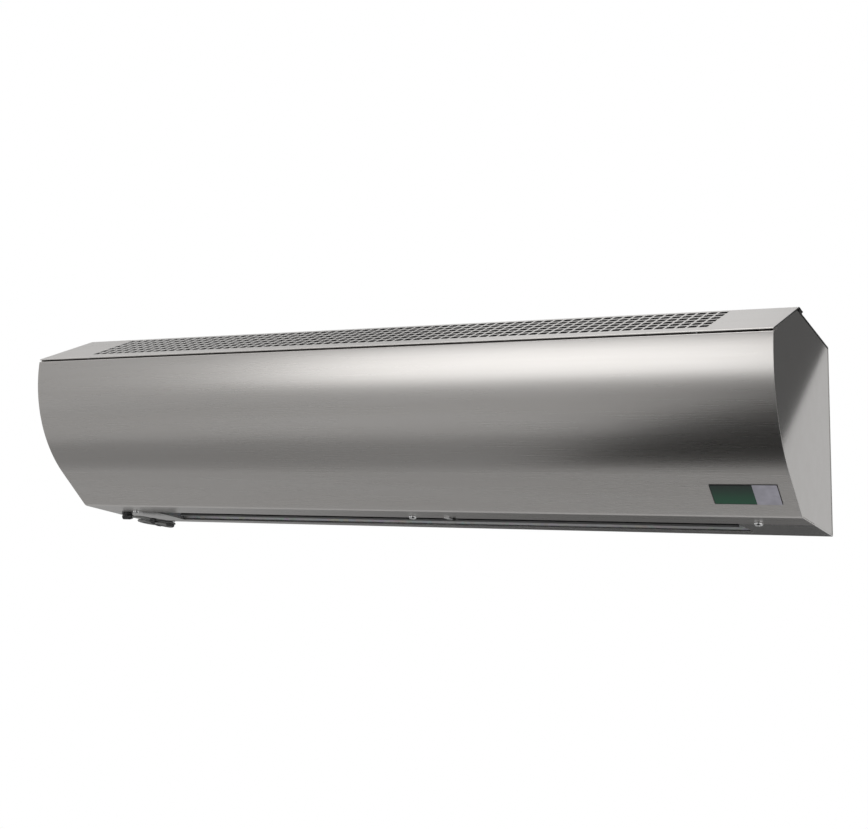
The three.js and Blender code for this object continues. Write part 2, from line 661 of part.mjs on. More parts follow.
// The board on its four posts, with two relays and a round can on its face.
function controlBoard() {
  const { level, post, postRadius, depth, height } = BOARD;
  const plate = solid(inBay(-1, BOARD, level, post));
  const inset = 2 * postRadius;
  const posts = [[-1, -1], [-1, 1], [1, -1], [1, 1]].map(([side, rise]) => {
    const pillar = new THREE.CylinderGeometry(postRadius, postRadius, post + depth / 2, 10);
    const x = -bayMiddle + side * (bayLength / 2 - inset);
    return solid(pillar.translate(x, backFace - (post + depth / 2) / 2, level + rise * (height / 2 - inset)));
  });
  const face = post + depth / 2;
  const relays = [-1, 1].map((rise) =>
    solid(inBay(-1, RELAY, level + rise * RELAY.height * 0.8, face, -bayLength / 5)));
  const can = new THREE.CylinderGeometry(BOARD_CAN.radius, BOARD_CAN.radius, BOARD_CAN.depth, 14);
  can.translate(-bayMiddle + bayLength / 3, backFace - face - BOARD_CAN.depth / 2, level);
  return join(plate, ...posts, ...relays, solid(can));
}

// A small round thermostat on the left fan side, above the front rod.
function thermalCutout() {
  const face = -SIDE_OUTER - GAP;
  const { radius, flange, button, length, rise } = CUTOUT;
  const cutout = turned([[face - length, 0], [face - length, button], [face - flange, button],
    [face - flange, radius], [face, radius], [face, 0]], 20);
  return cutout.translate(0, rodPlaces[0].x, rodPlaces[0].y + rise);
}

function capacitor() {
  return inBay(1, CAPACITOR, CAPACITOR.level);
}

// ---- Screws ------------------------------------------------------------------------------------

// A pan-head screw, with its axis along Z, its shank up and a cross recess in its head.
function screw() {
  const profile = [[0, -HEAD_HEIGHT], [HEAD_RADIUS * 0.55, -HEAD_HEIGHT],
    [HEAD_RADIUS * 0.9, -HEAD_HEIGHT * 0.62], [HEAD_RADIUS, -HEAD_HEIGHT * 0.25], [HEAD_RADIUS, 0],
    [SCREW_RADIUS, 0], [SCREW_RADIUS, SCREW_LENGTH], [0, SCREW_LENGTH]];
  const turnedHead = new THREE.LatheGeometry(profile.map(([x, y]) => point(x, y)), 16);
  const span = HEAD_RADIUS * 1.1;
  const wide = span / 4;
  const wings = [[span, wide], [wide, span]].map(([x, z]) => new THREE.BoxGeometry(x, HEAD_HEIGHT, z));
  const cross = wings.map((part) => solid(part.translate(0, -HEAD_HEIGHT, 0)));
  return geometryOf(solid(turnedHead).subtract(join(...cross))).rotateX(Math.PI / 2);
}

function addScrews() {
  SCREW_PLACES.forEach((x, k) => {
    const seat = floorFrame(x, SCREW_FROM_CHIN, -GAP);
    add(`cover_screw_${k + 1}`, screw(), chrome, seat);
    casing.add(seat);
  });
}

// ---- Lead --------------------------------------------------------------------------------------

// The elbow strain relief, in the floor's frame: a stem through the floor and a snout along +X.
function strainRelief() {
  const upright = (radius, from, to) => solid(rod(radius, from, to, 14).rotateY(-Math.PI / 2));
  const stem = upright(RELIEF_STEM_RADIUS, -RELIEF_DROP, BACK_SHEET + 2.5);
  const collar = upright(RELIEF_STEM_RADIUS + 1.6, BACK_SHEET + GAP, BACK_SHEET + 2.2);
  const flange = upright(RELIEF_STEM_RADIUS + 2, -2, -GAP);
  const rear = -RELIEF_STEM_RADIUS - 1;
  const snout = turned([[rear, 0], [rear, RELIEF_RADIUS - 1], [rear + 1, RELIEF_RADIUS],
    [RELIEF_REACH - 3, RELIEF_RADIUS], [RELIEF_REACH, RELIEF_RADIUS - 0.9], [RELIEF_REACH, 0]], 14);
  return join(stem, collar, flange, solid(snout.translate(0, 0, -RELIEF_DROP)));
}

const reliefFrame = floorFrame(CORD_PLACE, CORD_FROM_CHIN);
const hankFrame = floorFrame(HANK_PLACE.x, HANK_PLACE.fromChin, -HANK_PLACE.drop);
const hankTilt = new THREE.Group();
hankTilt.rotation.set(0, HANK_DROOP, HANK_TURN, 'ZYX');
hankFrame.add(hankTilt);
hankFrame.updateMatrixWorld(true);

// The hank's middle line. Each loop is a run, a fold, a run and a fold. The loops spiral in on the
// upper layer, drop to the lower one along a run, and spiral out again.
const LOOP_STEPS = 2 * (RUN_STEPS + FOLD_STEPS);
const HANK_STEPS = 2 * LOOP_STEPS + RUN_STEPS;
const HANK_MIDDLE = HANK_STEPS / 2;
const CORD = 2 * CORD_RADIUS;

function hankPoint(step) {
  const place = step % LOOP_STEPS;
  const radius = HANK_INNER + (HANK_STEP * Math.abs(step - HANK_MIDDLE)) / LOOP_STEPS;
  const drop = THREE.MathUtils.clamp((step - HANK_MIDDLE) / RUN_STEPS, -0.5, 0.5);
  const height = -HANK_LAYER * Math.sin(Math.PI * drop) / 2;
  const half = RUN_STEPS + FOLD_STEPS;
  const facing = place < half ? 1 : -1; // the first run is at the front and goes to the right
  const within = place % half;
  if (within <= RUN_STEPS) {
    const x = HANK_HALF_RUN * ((2 * within) / RUN_STEPS - 1);
    const drawn = HANK_DRAWN * Math.cos((Math.PI * x) / (2 * HANK_HALF_RUN)) ** 2;
    return new THREE.Vector3(facing * x, -facing * (radius - drawn), height);
  }
  const angle = (Math.PI * (within - RUN_STEPS)) / FOLD_STEPS;
  const x = HANK_HALF_RUN + radius * Math.sin(angle);
  return new THREE.Vector3(facing * x, -facing * radius * Math.cos(angle), height);
}

function hankRoute() {
  const route = Array.from({ length: HANK_STEPS + 1 }, (_, step) => hankPoint(step));
  route.unshift(route[0].clone().setX(-HANK_HALF_RUN - CORD));
  route.push(route.at(-1).clone().setX(HANK_HALF_RUN + TAIL / 2));
  route.push(route.at(-1).clone().setX(HANK_HALF_RUN + TAIL));
  return route;
}

// A tube of six sides along a line of points, closed at both ends.
function tube(route, radius, sides = 6) {
  const positions = [];
  const triangles = [];
  const across = new THREE.Vector3();
  const rise = new THREE.Vector3(0, 0, 1);
  route.forEach((here, i) => {
    const ahead = route[Math.min(i + 1, route.length - 1)];
    const behind = route[Math.max(i - 1, 0)];
    const way = ahead.clone().sub(behind).normalize();
    across.crossVectors(way, rise).normalize();
    rise.crossVectors(across, way).normalize();
    for (let k = 0; k < sides; k += 1) {
      const angle = (TURN * k) / sides;
      const spoke = across.clone().multiplyScalar(radius * Math.cos(angle));
      spoke.addScaledVector(rise, radius * Math.sin(angle));
      positions.push(...here.clone().add(spoke).toArray());
    }
  });
  for (let i = 0; i < route.length - 1; i += 1) {
    for (let k = 0; k < sides; k += 1) {
      const a = i * sides + k;
      const b = i * sides + ((k + 1) % sides);
      triangles.push(a, a + sides, b, b, a + sides, b + sides);
    }
  }
  const last = (route.length - 1) * sides;
  for (let k = 1; k < sides - 1; k += 1) {
    triangles.push(0, k, k + 1);
    triangles.push(last, last + k + 1, last + k);
  }
  const geometry = new THREE.BufferGeometry();
  geometry.setAttribute('position', new THREE.Float32BufferAttribute(positions, 3));
  geometry.setIndex(triangles);
  geometry.computeVertexNormals();
  return geometry;
}

// The least gap between parts of a tube that aren't next to each other along it.
function leastGap(route) {
  const fine = new THREE.CatmullRomCurve3(route, false, 'centripetal').getSpacedPoints(900);
  const spacing = fine[0].distanceTo(fine[1]);
  const apart = Math.ceil((3 * CORD) / spacing);
  let least = Infinity;
  for (let i = 0; i < fine.length; i += 1) {
    for (let j = i + apart; j < fine.length; j += 1) {
      least = Math.min(least, fine[i].distanceTo(fine[j]));
    }
  }
  return least - CORD;
}

// The lead from the strain relief to the hank: straight out of each, with one easy curve between.
function leadRoute(hankStart) {
  const start = new THREE.Vector3(RELIEF_REACH + GAP, 0, -RELIEF_DROP);
  start.applyMatrix4(reliefFrame.matrixWorld);
  const end = hankStart[0].clone().applyMatrix4(hankTilt.matrixWorld);
  const inner = hankStart[1].clone().applyMatrix4(hankTilt.matrixWorld);
  const way = inner.sub(end).normalize();
  end.addScaledVector(way, -GAP);
  const out = start.clone().setX(start.x + CORD);
  return [start, out, end.clone().addScaledVector(way, -CORD), end];
}

function leadTube(route) {
  const curve = new THREE.CatmullRomCurve3(route, false, 'centripetal');
  const section = new THREE.Shape(Array.from({ length: 8 }, (_, k) => {
    const angle = (TURN * k) / 8;
    return point(CORD_RADIUS * Math.cos(angle), CORD_RADIUS * Math.sin(angle));
  }));
  return new THREE.ExtrudeGeometry(section, { steps: 8, extrudePath: curve, bevelEnabled: false });
}

// The tie: a flat band round the drawn-in waist of the hank.
function hankTie() {
  const outer = HANK_INNER + (HANK_STEP * HANK_MIDDLE) / LOOP_STEPS - HANK_DRAWN;
  const halfWidth = outer + CORD_RADIUS + GAP;
  const halfHeight = HANK_LAYER / 2 + CORD_RADIUS + GAP;
  const band = (grow) => {
    const y = halfWidth + grow;
    const z = halfHeight + grow;
    const corner = 1 + grow;
    const quarter = [[-1, -1], [1, -1], [1, 1], [-1, 1]].flatMap(([sideY, sideZ]) => {
      const ends = [[sideY * y, sideZ * (z - corner)], [sideY * (y - corner), sideZ * z]];
      return (sideY * sideZ < 0 ? ends.reverse() : ends).map(([a, b]) => point(a, b));
    });
    return quarter;
  };
  const outside = solid(along(band(TIE_SHEET), -TIE_WIDTH / 2, TIE_WIDTH / 2));
  return outside.subtract(solid(along(band(0), -TIE_WIDTH, TIE_WIDTH)));
}

function plug(hankEnd) {
  const box = new THREE.BoxGeometry(PLUG.length, PLUG.width, PLUG.height);
  box.translate(hankEnd.x + GAP + PLUG.length / 2, hankEnd.y, hankEnd.z);
  const key = new THREE.BoxGeometry(PLUG.length * 0.6, PLUG.width * 0.4, 1.6);
  key.translate(hankEnd.x + GAP + PLUG.length * 0.6, hankEnd.y, hankEnd.z - PLUG.height / 2);
  return join(solid(box), solid(key));
}

function addLead() {
  const route = hankRoute();
  add('strain_relief', strainRelief(), blackPlastic, reliefFrame);
  add('lead_hank', tube(route, CORD_RADIUS), cable, hankTilt);
  add('hank_tie', hankTie(), blackPlastic, hankTilt);
  add('lead_plug', plug(route.at(-1)), blackPlastic, hankTilt);
  add('lead', leadTube(leadRoute(route)), cable);
  casing.add(reliefFrame, hankFrame);
  const length = new THREE.CatmullRomCurve3(route, false, 'centripetal').getLength();
  console.log(`hank: ${length.toFixed(1)} mm of lead, least gap ${leastGap(route).toFixed(2)} mm`);
}

// ---- Assembly ----------------------------------------------------------------------------------

add('front_panel', frontPanel(), stainless);
add('top_panel', topPanel(), stainless);
add('back_plate', backPlate(), galvanised);
add('end_cap_left', endCap(-1), stainless);
add('end_cap_right', endCap(1), stainless);
add('nozzle_front', nozzleFront(), galvanised);
add('volute', volute(), galvanised);
add('fan_side_left', fanSide(-1), galvanised);
add('fan_side_right', fanSide(1), galvanised);
add('outlet_vane', vane(), aluminium);
add('wheel', wheel(), aluminium);
add('wheel_shaft', leftShaft(), chrome);
add('bearing', bearing(), chrome);
add('bearing_bush', bearingBush(), rubber);
add('bearing_bracket', bearingBracket(), galvanised);
add('motor_bracket', motorBracket(), galvanised);
add('motor_body', motorBody(), motorPaint);
add('motor_shaft', motorShaft(), chrome);
add('motor_capacitor', capacitor(), cream);
add('heating_rod_front', heatingRod(rodPlaces[0]), rodSteel);
add('heating_rod_rear', heatingRod(rodPlaces[1]), rodSteel);
add('thermal_cutout', thermalCutout(), cream);
add('terminal_block', terminalBlock(), cream);
add('control_board', controlBoard(), board);
addScrews();
addLead();

export default casing;
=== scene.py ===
# %% [markdown]
# # An air curtain in brushed steel
#
# This lesson dresses a finished model of an air curtain, a long fan that hangs over a doorway.
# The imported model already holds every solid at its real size. Here we give it smooth folded
# sheets, a pierced grille, small fittings and finishes, all in metres and in the model's frame:
# X runs along the unit, -Y is its front, +Z is up, and the wall is the plane y = 0.

import math

import bmesh
import bpy
from mathutils import Matrix, Vector


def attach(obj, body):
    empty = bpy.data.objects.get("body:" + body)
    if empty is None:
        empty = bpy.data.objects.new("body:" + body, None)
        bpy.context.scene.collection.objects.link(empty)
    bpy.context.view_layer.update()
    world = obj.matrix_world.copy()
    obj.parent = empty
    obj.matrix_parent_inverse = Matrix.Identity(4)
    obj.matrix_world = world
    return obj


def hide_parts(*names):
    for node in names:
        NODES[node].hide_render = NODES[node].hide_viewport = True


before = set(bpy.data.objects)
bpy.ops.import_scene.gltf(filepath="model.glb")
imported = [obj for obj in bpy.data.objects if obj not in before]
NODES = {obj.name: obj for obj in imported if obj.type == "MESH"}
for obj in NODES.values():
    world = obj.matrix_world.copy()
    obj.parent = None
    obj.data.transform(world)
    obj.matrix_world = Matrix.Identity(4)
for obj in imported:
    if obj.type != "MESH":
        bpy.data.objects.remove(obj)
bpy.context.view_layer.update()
MM = 0.001

# %% [markdown]
# ## Camera
#
# The unit is seen from the right and from a little below, through a lens of about 62 mm. Its
# upright lines stay nearly upright because the lens is shifted, as on a product photograph.

# %% Camera
LENS = 62.1
CAMERA_PLACE = (0.740, -1.392, -0.0196)
CAMERA_YAW = math.radians(28.52)
CAMERA_PITCH = math.radians(5.46)
CAMERA_SHIFT = -0.1089

bpy.ops.object.camera_add(
    location=CAMERA_PLACE, rotation=(math.radians(90) + CAMERA_PITCH, 0, CAMERA_YAW)
)
camera = bpy.context.object
camera.data.lens = LENS
camera.data.sensor_width = 36
camera.data.shift_y = CAMERA_SHIFT
bpy.context.scene.camera = camera

# %% [markdown]
# ## Section of the casing
#
# The whole casing is one section pulled out along X, so we name the places of that section once,
# as (y, z) pairs, and draw every sheet from them. A face gives places along a straight run, and
# places above it, which is how a metalworker measures from a bend.

# %% Section
HALF = 0.4  # half the length
TOP_EDGE = Vector((-0.182, 0.0914))
RIDGE = Vector((-0.099, 0.1162))
WALL_TOP = Vector((0, 0.087))
WALL_BOTTOM = Vector((0, -0.087))
FRONT_CENTRE = Vector((-0.0492, 0.0675))
FRONT_RADIUS = 0.135
FRONT_WRAP = math.radians(46)
CHIN_HEIGHT = -0.0665
SHEET = 1.0 * MM
TOP_SHEET = 1.2 * MM
TOP_SHADOW = 1.6 * MM  # the dark line between the top sheet and the front
GAP = 0.3 * MM


class Face:
    """A straight run of the section. Lift is to the left of its direction."""

    def __init__(self, start, end):
        self.start = start
        self.way = (end - start).normalized()
        self.up = Vector((-self.way.y, self.way.x))
        self.length = (end - start).length
        self.angle = math.atan2(self.way.y, self.way.x)

    def at(self, along, lift=0.0):
        return self.start + self.way * along + self.up * lift


def on_front(angle, inset=0.0):
    """A place on the front's arc, at an angle below level."""
    radius = FRONT_RADIUS - inset
    return FRONT_CENTRE + Vector((-math.cos(angle), -math.sin(angle))) * radius


ARC_END = on_front(FRONT_WRAP)
CHIN = Vector((ARC_END.x + (ARC_END.y - CHIN_HEIGHT) * math.tan(FRONT_WRAP), CHIN_HEIGHT))
top = Face(TOP_EDGE, RIDGE)
lap = Face(RIDGE, WALL_TOP)
floor_face = Face(CHIN, WALL_BOTTOM)
lower_front = Face(ARC_END, CHIN)  # lift is into the casing
front_start = -math.asin((TOP_EDGE.y - TOP_SHEET - TOP_SHADOW - FRONT_CENTRE.y) / FRONT_RADIUS)
FRONT_CORNER = on_front(front_start)
print("chin at", CHIN, "and floor", round(floor_face.length, 4), "m deep")

# %% [markdown]
# ## Lead
#
# The thin lead leaves an elbow relief under the left-hand end and is folded into a small hank.
# Its loops are worked out by a formula: they spiral in on the upper layer, drop to the lower one
# along a run and spiral out again, drawn in at the waist by the tie.

# %% Lead and hank
CORD_RADIUS = 1.3 * MM
RELIEF_X, RELIEF_FROM_CHIN = -HALF + 20 * MM, 48 * MM
RELIEF_REACH, RELIEF_DROP = 8 * MM, 4.2 * MM
HANK_X, HANK_FROM_CHIN, HANK_DROP = -HALF + 51.5 * MM, 63 * MM, 7.5 * MM
HANK_TURN, HANK_DROOP = math.radians(18), math.radians(5)
HALF_RUN, INNER = 10 * MM, 7.5 * MM
STEP, LAYER, DRAWN_IN = 4.1 * MM, 3.4 * MM, 2.6 * MM
RUN_STEPS, FOLD_STEPS = 5, 7
LOOP_STEPS = 2 * (RUN_STEPS + FOLD_STEPS)
HANK_STEPS = 2 * LOOP_STEPS + RUN_STEPS
TAIL = 7 * MM
CORD_STEPS, MEASURE_STEPS = 5, 12  # steps between two points, drawn and measured


def floor_matrix(x, from_chin, drop=0.0):
    """Stands on the floor: Y towards the wall along it, Z into the casing."""
    place = floor_face.at(from_chin, -drop)
    return Matrix.Translation((x, place.x, place.y)) @ Matrix.Rotation(floor_face.angle, 4, "X")


HANK_MATRIX = (
    floor_matrix(HANK_X, HANK_FROM_CHIN, HANK_DROP)
    @ Matrix.Rotation(HANK_TURN, 4, "Z") @ Matrix.Rotation(HANK_DROOP, 4, "Y")
)


def hank_point(step):
    """A point of the hank's middle line: a loop is a run, a fold, a run and a fold."""
    from_middle = step - HANK_STEPS / 2
    radius = INNER + STEP * abs(from_middle) / LOOP_STEPS
    part = max(-0.5, min(0.5, from_middle / RUN_STEPS))
    height = -LAYER * math.sin(math.pi * part) / 2
    place = step % LOOP_STEPS
    facing = 1 if place < LOOP_STEPS / 2 else -1
    within = place % (LOOP_STEPS / 2)
    if within <= RUN_STEPS:
        x = HALF_RUN * (2 * within / RUN_STEPS - 1)
        pull = DRAWN_IN * math.cos(math.pi * x / (2 * HALF_RUN)) ** 2
        return Vector((facing * x, -facing * (radius - pull), height))
    angle = math.pi * (within - RUN_STEPS) / FOLD_STEPS
    x = HALF_RUN + radius * math.sin(angle)
    return Vector((facing * x, -facing * radius * math.cos(angle), height))


def hank_route():
    route = [hank_point(step) for step in range(HANK_STEPS + 1)]
    first, last = route[0], route[-1]
    route.insert(0, Vector((-HALF_RUN - 2 * CORD_RADIUS, first.y, first.z)))
    for reach in (TAIL / 2, TAIL):
        route.append(Vector((HALF_RUN + reach, last.y, last.z)))
    return [HANK_MATRIX @ point for point in route]


def lead_route():
    """From the relief's snout to the hank, straight out of each."""
    start = floor_matrix(RELIEF_X, RELIEF_FROM_CHIN) @ Vector((RELIEF_REACH + GAP, 0, -RELIEF_DROP))
    hank = hank_route()
    way = (hank[1] - hank[0]).normalized()
    out = start + Vector((2 * CORD_RADIUS, 0, 0))
    return [start, out, hank[0] - way * 2 * CORD_RADIUS] + hank


def smooth_curve(name, points, steps):
    """A curve that runs smoothly through the points."""
    data = bpy.data.curves.new(name, "CURVE")
    data.dimensions = "3D"
    data.resolution_u = steps
    spline = data.splines.new("BEZIER")
    spline.bezier_points.add(len(points) - 1)
    for knot, place in zip(spline.bezier_points, points):
        knot.co = place
        knot.handle_left_type = knot.handle_right_type = "AUTO"
    return data


def cord_curve(name, points, radius):
    data = smooth_curve(name, points, CORD_STEPS)
    data.bevel_depth = radius
    data.bevel_resolution = 4
    data.use_fill_caps = True
    obj = bpy.data.objects.new(name, data)
    bpy.context.collection.objects.link(obj)
    return obj


def curve_length(points):
    measured = smooth_curve("measure", points, MEASURE_STEPS)
    length = measured.splines[0].calc_length()
    bpy.data.curves.remove(measured)
    return length


cord_points = lead_route()
cord = cord_curve("lead_cord", cord_points, CORD_RADIUS)
CORD_LENGTH = curve_length(cord_points)
print("lead is", round(CORD_LENGTH, 4), "m long")

# %% [markdown]
# ## Drawing sheets
#
# Each sheet starts as one edge along X, or a cap's outline as one vertex. In edit mode it is
# drawn out: extrude makes a straight run, and spin makes an arc. Bends are then bevelled with
# several segments, Solidify gives the sheet its thickness, and a small bevel breaks its edges so
# that they catch the light.

# %% Edit-mode helpers
WELD = 1e-6  # corners closer than this become one
NEAR = 1e-5  # what still counts as the same place


def only(obj):
    """Makes one object the active and only selected one."""
    if bpy.context.object and bpy.context.object.mode != "OBJECT":
        bpy.ops.object.mode_set(mode="OBJECT")
    bpy.ops.object.select_all(action="DESELECT")
    obj.select_set(True)
    bpy.context.view_layer.objects.active = obj
    return obj


def edit(obj):
    only(obj)
    bpy.ops.object.mode_set(mode="EDIT")
    return obj


def leave():
    bpy.ops.object.mode_set(mode="OBJECT")


def pick(obj, kind, test):
    """In edit mode, selects only the vertices, edges or faces that pass the test."""
    bpy.ops.mesh.select_mode(type=kind)
    bpy.ops.mesh.select_all(action="DESELECT")
    mesh = bmesh.from_edit_mesh(obj.data)
    parts = {"VERT": mesh.verts, "EDGE": mesh.edges, "FACE": mesh.faces}[kind]
    chosen = [part for part in parts if test(part)]
    for part in chosen:
        part.select_set(True)
    bmesh.update_edit_mesh(obj.data)
    return len(chosen)


def middle(part):
    """The mean place of an edge's or a face's corners."""
    return sum((vert.co for vert in part.verts), Vector()) / len(part.verts)


def in_section(place):
    return Vector((place.y, place.z))


def runs_along(edge, axis):
    """Whether an edge has a length along an axis: 0 is X, 1 is Y and 2 is Z."""
    return abs(edge.verts[0].co[axis] - edge.verts[1].co[axis]) > 0.1 * MM


def extrude(step):
    bpy.ops.mesh.extrude_region_move(TRANSFORM_OT_translate={"value": step})


def weld():
    """Joins the corners that lie on each other, and leaves everything selected."""
    bpy.ops.mesh.select_all(action="SELECT")
    bpy.ops.mesh.remove_doubles(threshold=WELD)


def face_outwards():
    bpy.ops.mesh.select_all(action="SELECT")
    bpy.ops.mesh.normals_make_consistent(inside=False)


def apply_modifier(obj, kind, **settings):
    only(obj)
    modifier = obj.modifiers.new(kind.title(), kind)
    for name, value in settings.items():
        setattr(modifier, name, value)
    bpy.ops.object.modifier_apply(modifier=modifier.name)


def soften(obj, width, segments=2, angle=40):
    """A small bevel on every edge sharper than the angle, then smooth shading.

    Weighted normals follow the large faces, so that a small bevel at the end of a long sheet
    doesn't bend the reflections all along it.
    """
    apply_modifier(
        obj, "BEVEL", width=width, segments=segments, limit_method="ANGLE",
        angle_limit=math.radians(angle),
    )
    only(obj)
    bpy.ops.object.shade_smooth_by_angle(angle=math.radians(50))
    apply_modifier(obj, "WEIGHTED_NORMAL", mode="FACE_AREA", weight=80, keep_sharp=True)


class Drawn:
    """A section drawn out in edit mode, from a vertex or from an edge along X."""

    def __init__(self, name, start, x_from, x_to=None):
        bpy.ops.object.select_all(action="DESELECT")
        bpy.ops.mesh.primitive_plane_add(size=1)
        self.obj = bpy.context.object
        self.obj.name = name
        ends = [x_from] if x_to is None else [x_from, x_to]
        edit(self.obj)
        bpy.ops.mesh.select_mode(type="VERT")
        bpy.ops.mesh.select_all(action="DESELECT")
        mesh = bmesh.from_edit_mesh(self.obj.data)
        mesh.verts.ensure_lookup_table()
        for vert in mesh.verts[len(ends):]:
            vert.select_set(True)
        bmesh.update_edit_mesh(self.obj.data)
        bpy.ops.mesh.delete(type="VERT")
        mesh = bmesh.from_edit_mesh(self.obj.data)
        for vert, x in zip(mesh.verts, ends):
            vert.co = (x, start.x, start.y)
            vert.select_set(True)
        mesh.select_flush(True)
        bmesh.update_edit_mesh(self.obj.data)
        self.place = start

    def to(self, *places):
        for place in places:
            step = place - self.place
            extrude((0, step.x, step.y))
            self.place = place
        return self

    def arc(self, centre, angle, steps):
        """An arc about a centre; a positive angle turns +Y towards +Z."""
        bpy.ops.mesh.spin(
            steps=steps, angle=angle, center=(0, centre.x, centre.y), axis=(-1, 0, 0)
        )
        arm = self.place - centre
        arm.rotate(Matrix.Rotation(angle, 2))
        self.place = centre + arm
        return self

    def close(self):
        """Joins the outline's two ends and fills it."""
        weld()
        bpy.ops.mesh.edge_face_add()
        return self

    def bend(self, place, radius, segments=6):
        """Rounds the bend that lies at a place of the section."""
        found = pick(self.obj, "EDGE", lambda edge: (
            (in_section(middle(edge)) - place).length < NEAR and runs_along(edge, 0)))
        bpy.ops.mesh.bevel(offset=radius, segments=segments, profile=0.5, affect="EDGES")
        return found

    def done(self):
        weld()
        leave()
        return self.obj


def thicken(obj, thickness, outward):
    """Gives a sheet its thickness on the inside: outward names a direction its face must look."""
    edit(obj)
    face_outwards()
    mesh = bmesh.from_edit_mesh(obj.data)
    largest = max(mesh.faces, key=lambda face: face.calc_area())
    if largest.normal.dot(Vector(outward)) < 0:
        bpy.ops.mesh.flip_normals()
    leave()
    apply_modifier(obj, "SOLIDIFY", thickness=thickness, offset=-1, use_even_offset=True)


def block(name, size, place=(0, 0, 0), bevel=0.0, segments=3):
    """A cube at its size, its edges rounded."""
    bpy.ops.object.select_all(action="DESELECT")
    bpy.ops.mesh.primitive_cube_add(size=1, location=place)
    part = bpy.context.object
    part.name = name
    part.scale = size
    bpy.ops.object.transform_apply(location=True, rotation=False, scale=True)
    if bevel:
        apply_modifier(part, "BEVEL", width=bevel, segments=segments)
    return part


def join(*parts):
    only(parts[0])
    for part in parts[1:]:
        part.select_set(True)
    bpy.ops.object.join()
    return parts[0]


def put(obj, x, place, angle):
    """Moves a piece to a place of the section, with its Y along a face, and applies it."""
    obj.location = (x, place.x, place.y)
    obj.rotation_euler = (angle, 0, 0)
    only(obj)
    bpy.ops.object.transform_apply(location=True, rotation=True, scale=True)


def finish_piece(obj, body, slot, material, *nodes):
    """A piece gets its material, rides on its body and stands for the solids it replaces."""
    obj.data.materials.clear()
    obj.data.materials.append(material)
    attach(obj, body)
    if nodes:
        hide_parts(*nodes)
    print(obj.name, len(obj.data.polygons), "faces")


# %% [markdown]
# ## Materials
#
# All finishes are procedural and read Object coordinates. A small class wraps a socket so that
# shader maths can be written as Python expressions.

# %% Shader maths
BUMP_DEPTH = 0.2 * MM


class Sock:
    """A shader socket that can be used in an expression."""

    def __init__(self, nodes, socket):
        self.nodes = nodes
        self.socket = socket

    def _math(self, operation, *others):
        values = dict(enumerate((self, *others)))
        return self.nodes.add("ShaderNodeMath", values, operation=operation)

    def __add__(self, other):
        return self._math("ADD", other)

    __radd__ = __add__

    def __sub__(self, other):
        return self._math("SUBTRACT", other)

    def __mul__(self, other):
        return self._math("MULTIPLY", other)

    __rmul__ = __mul__

    def __abs__(self):
        return self._math("ABSOLUTE")


class Finish:
    """A new material with one Principled shader."""

    def __init__(self, name, **sockets):
        self.material = bpy.data.materials.new(name)
        self.material.use_nodes = True
        self.tree = self.material.node_tree
        self.shader = self.tree.nodes["Principled BSDF"]
        self.to(**sockets)

    def feed(self, entry, value):
        """Links a socket in, or sets a plain value."""
        if isinstance(value, Sock):
            self.tree.links.new(value.socket, entry)
        else:
            entry.default_value = value

    def to(self, **sockets):
        """Feeds the shader, with _ for the spaces in its sockets' names."""
        for name, value in sockets.items():
            self.feed(self.shader.inputs[name.replace("_", " ")], value)
        return self.material

    def add(self, kind, values=None, output=0, **settings):
        node = self.tree.nodes.new(kind)
        for key, value in settings.items():
            setattr(node, key, value)
        for key, value in (values or {}).items():
            self.feed(node.inputs[key], value)
        return Sock(self, node.outputs[output])

    def place(self, scale=(1, 1, 1)):
        """Object coordinates, stretched."""
        where = self.add("ShaderNodeTexCoord", output="Object")
        return self.add("ShaderNodeMapping", {"Vector": where, "Scale": scale})

    def axis(self, name):
        """One of the Object coordinates: X, Y or Z."""
        return self.add("ShaderNodeSeparateXYZ", {"Vector": self.place()}, name)

    def noise(self, scale, detail=2.0, rough=0.5, stretch=(1, 1, 1)):
        return self.add("ShaderNodeTexNoise", {
            "Vector": self.place(stretch), "Scale": scale, "Detail": detail, "Roughness": rough,
        })

    def ramp(self, value, low, high, to_low=0.0, to_high=1.0):
        return self.add("ShaderNodeMapRange", {
            "Value": value, "From Min": low, "From Max": high,
            "To Min": to_low, "To Max": to_high,
        }, interpolation_type="SMOOTHSTEP")

    def mix(self, factor, first, second):
        """Mixes two colours. This node's sockets share names, so they are told by number."""
        return self.add("ShaderNodeMix", {0: factor, 6: first, 7: second}, 2, data_type="RGBA")

    def bump(self, height, strength):
        return self.add("ShaderNodeBump", {
            "Height": height, "Strength": strength, "Distance": BUMP_DEPTH,
        })


def grey(value, warmth=0.0):
    return (value * (1 + warmth), value, value * (1 - warmth), 1)


# %% [markdown]
# ### Brushed stainless steel
#
# The sheet was run through an abrasive belt along its length, so the grain is long in X and very
# fine across it. Two stretched noises make it: a coarse one for faint streaks in the tone, and a
# fine one for roughness and bump, which spreads each reflection across the grain.

# %% Brushed steel
STREAKS = (60, 3, 0.6, (0.05, 1, 1))  # scale, detail, roughness and stretch of a noise
CUT_MARKS = (300, 3, 0.6, (1, 1, 4))


def brushed_steel(name, tone, roughness, grain):
    sheet = Finish(name, Metallic=1.0)
    streaks = sheet.noise(*STREAKS)
    fine = sheet.noise(900, 3, 0.7, (0.012, 1, 1))
    cloud = sheet.noise(6, 2, 0.5, (0.4, 1, 1))
    shade = sheet.ramp(0.7 * streaks + 0.3 * cloud, 0.3, 0.7)
    return sheet.to(
        Base_Color=sheet.mix(shade, grey(tone * 0.975, 0.035), grey(tone * 1.02, 0.03)),
        Roughness=roughness + 0.05 * (fine - 0.5) + 0.03 * (cloud - 0.5),
        Normal=sheet.bump(fine, grain),
    )


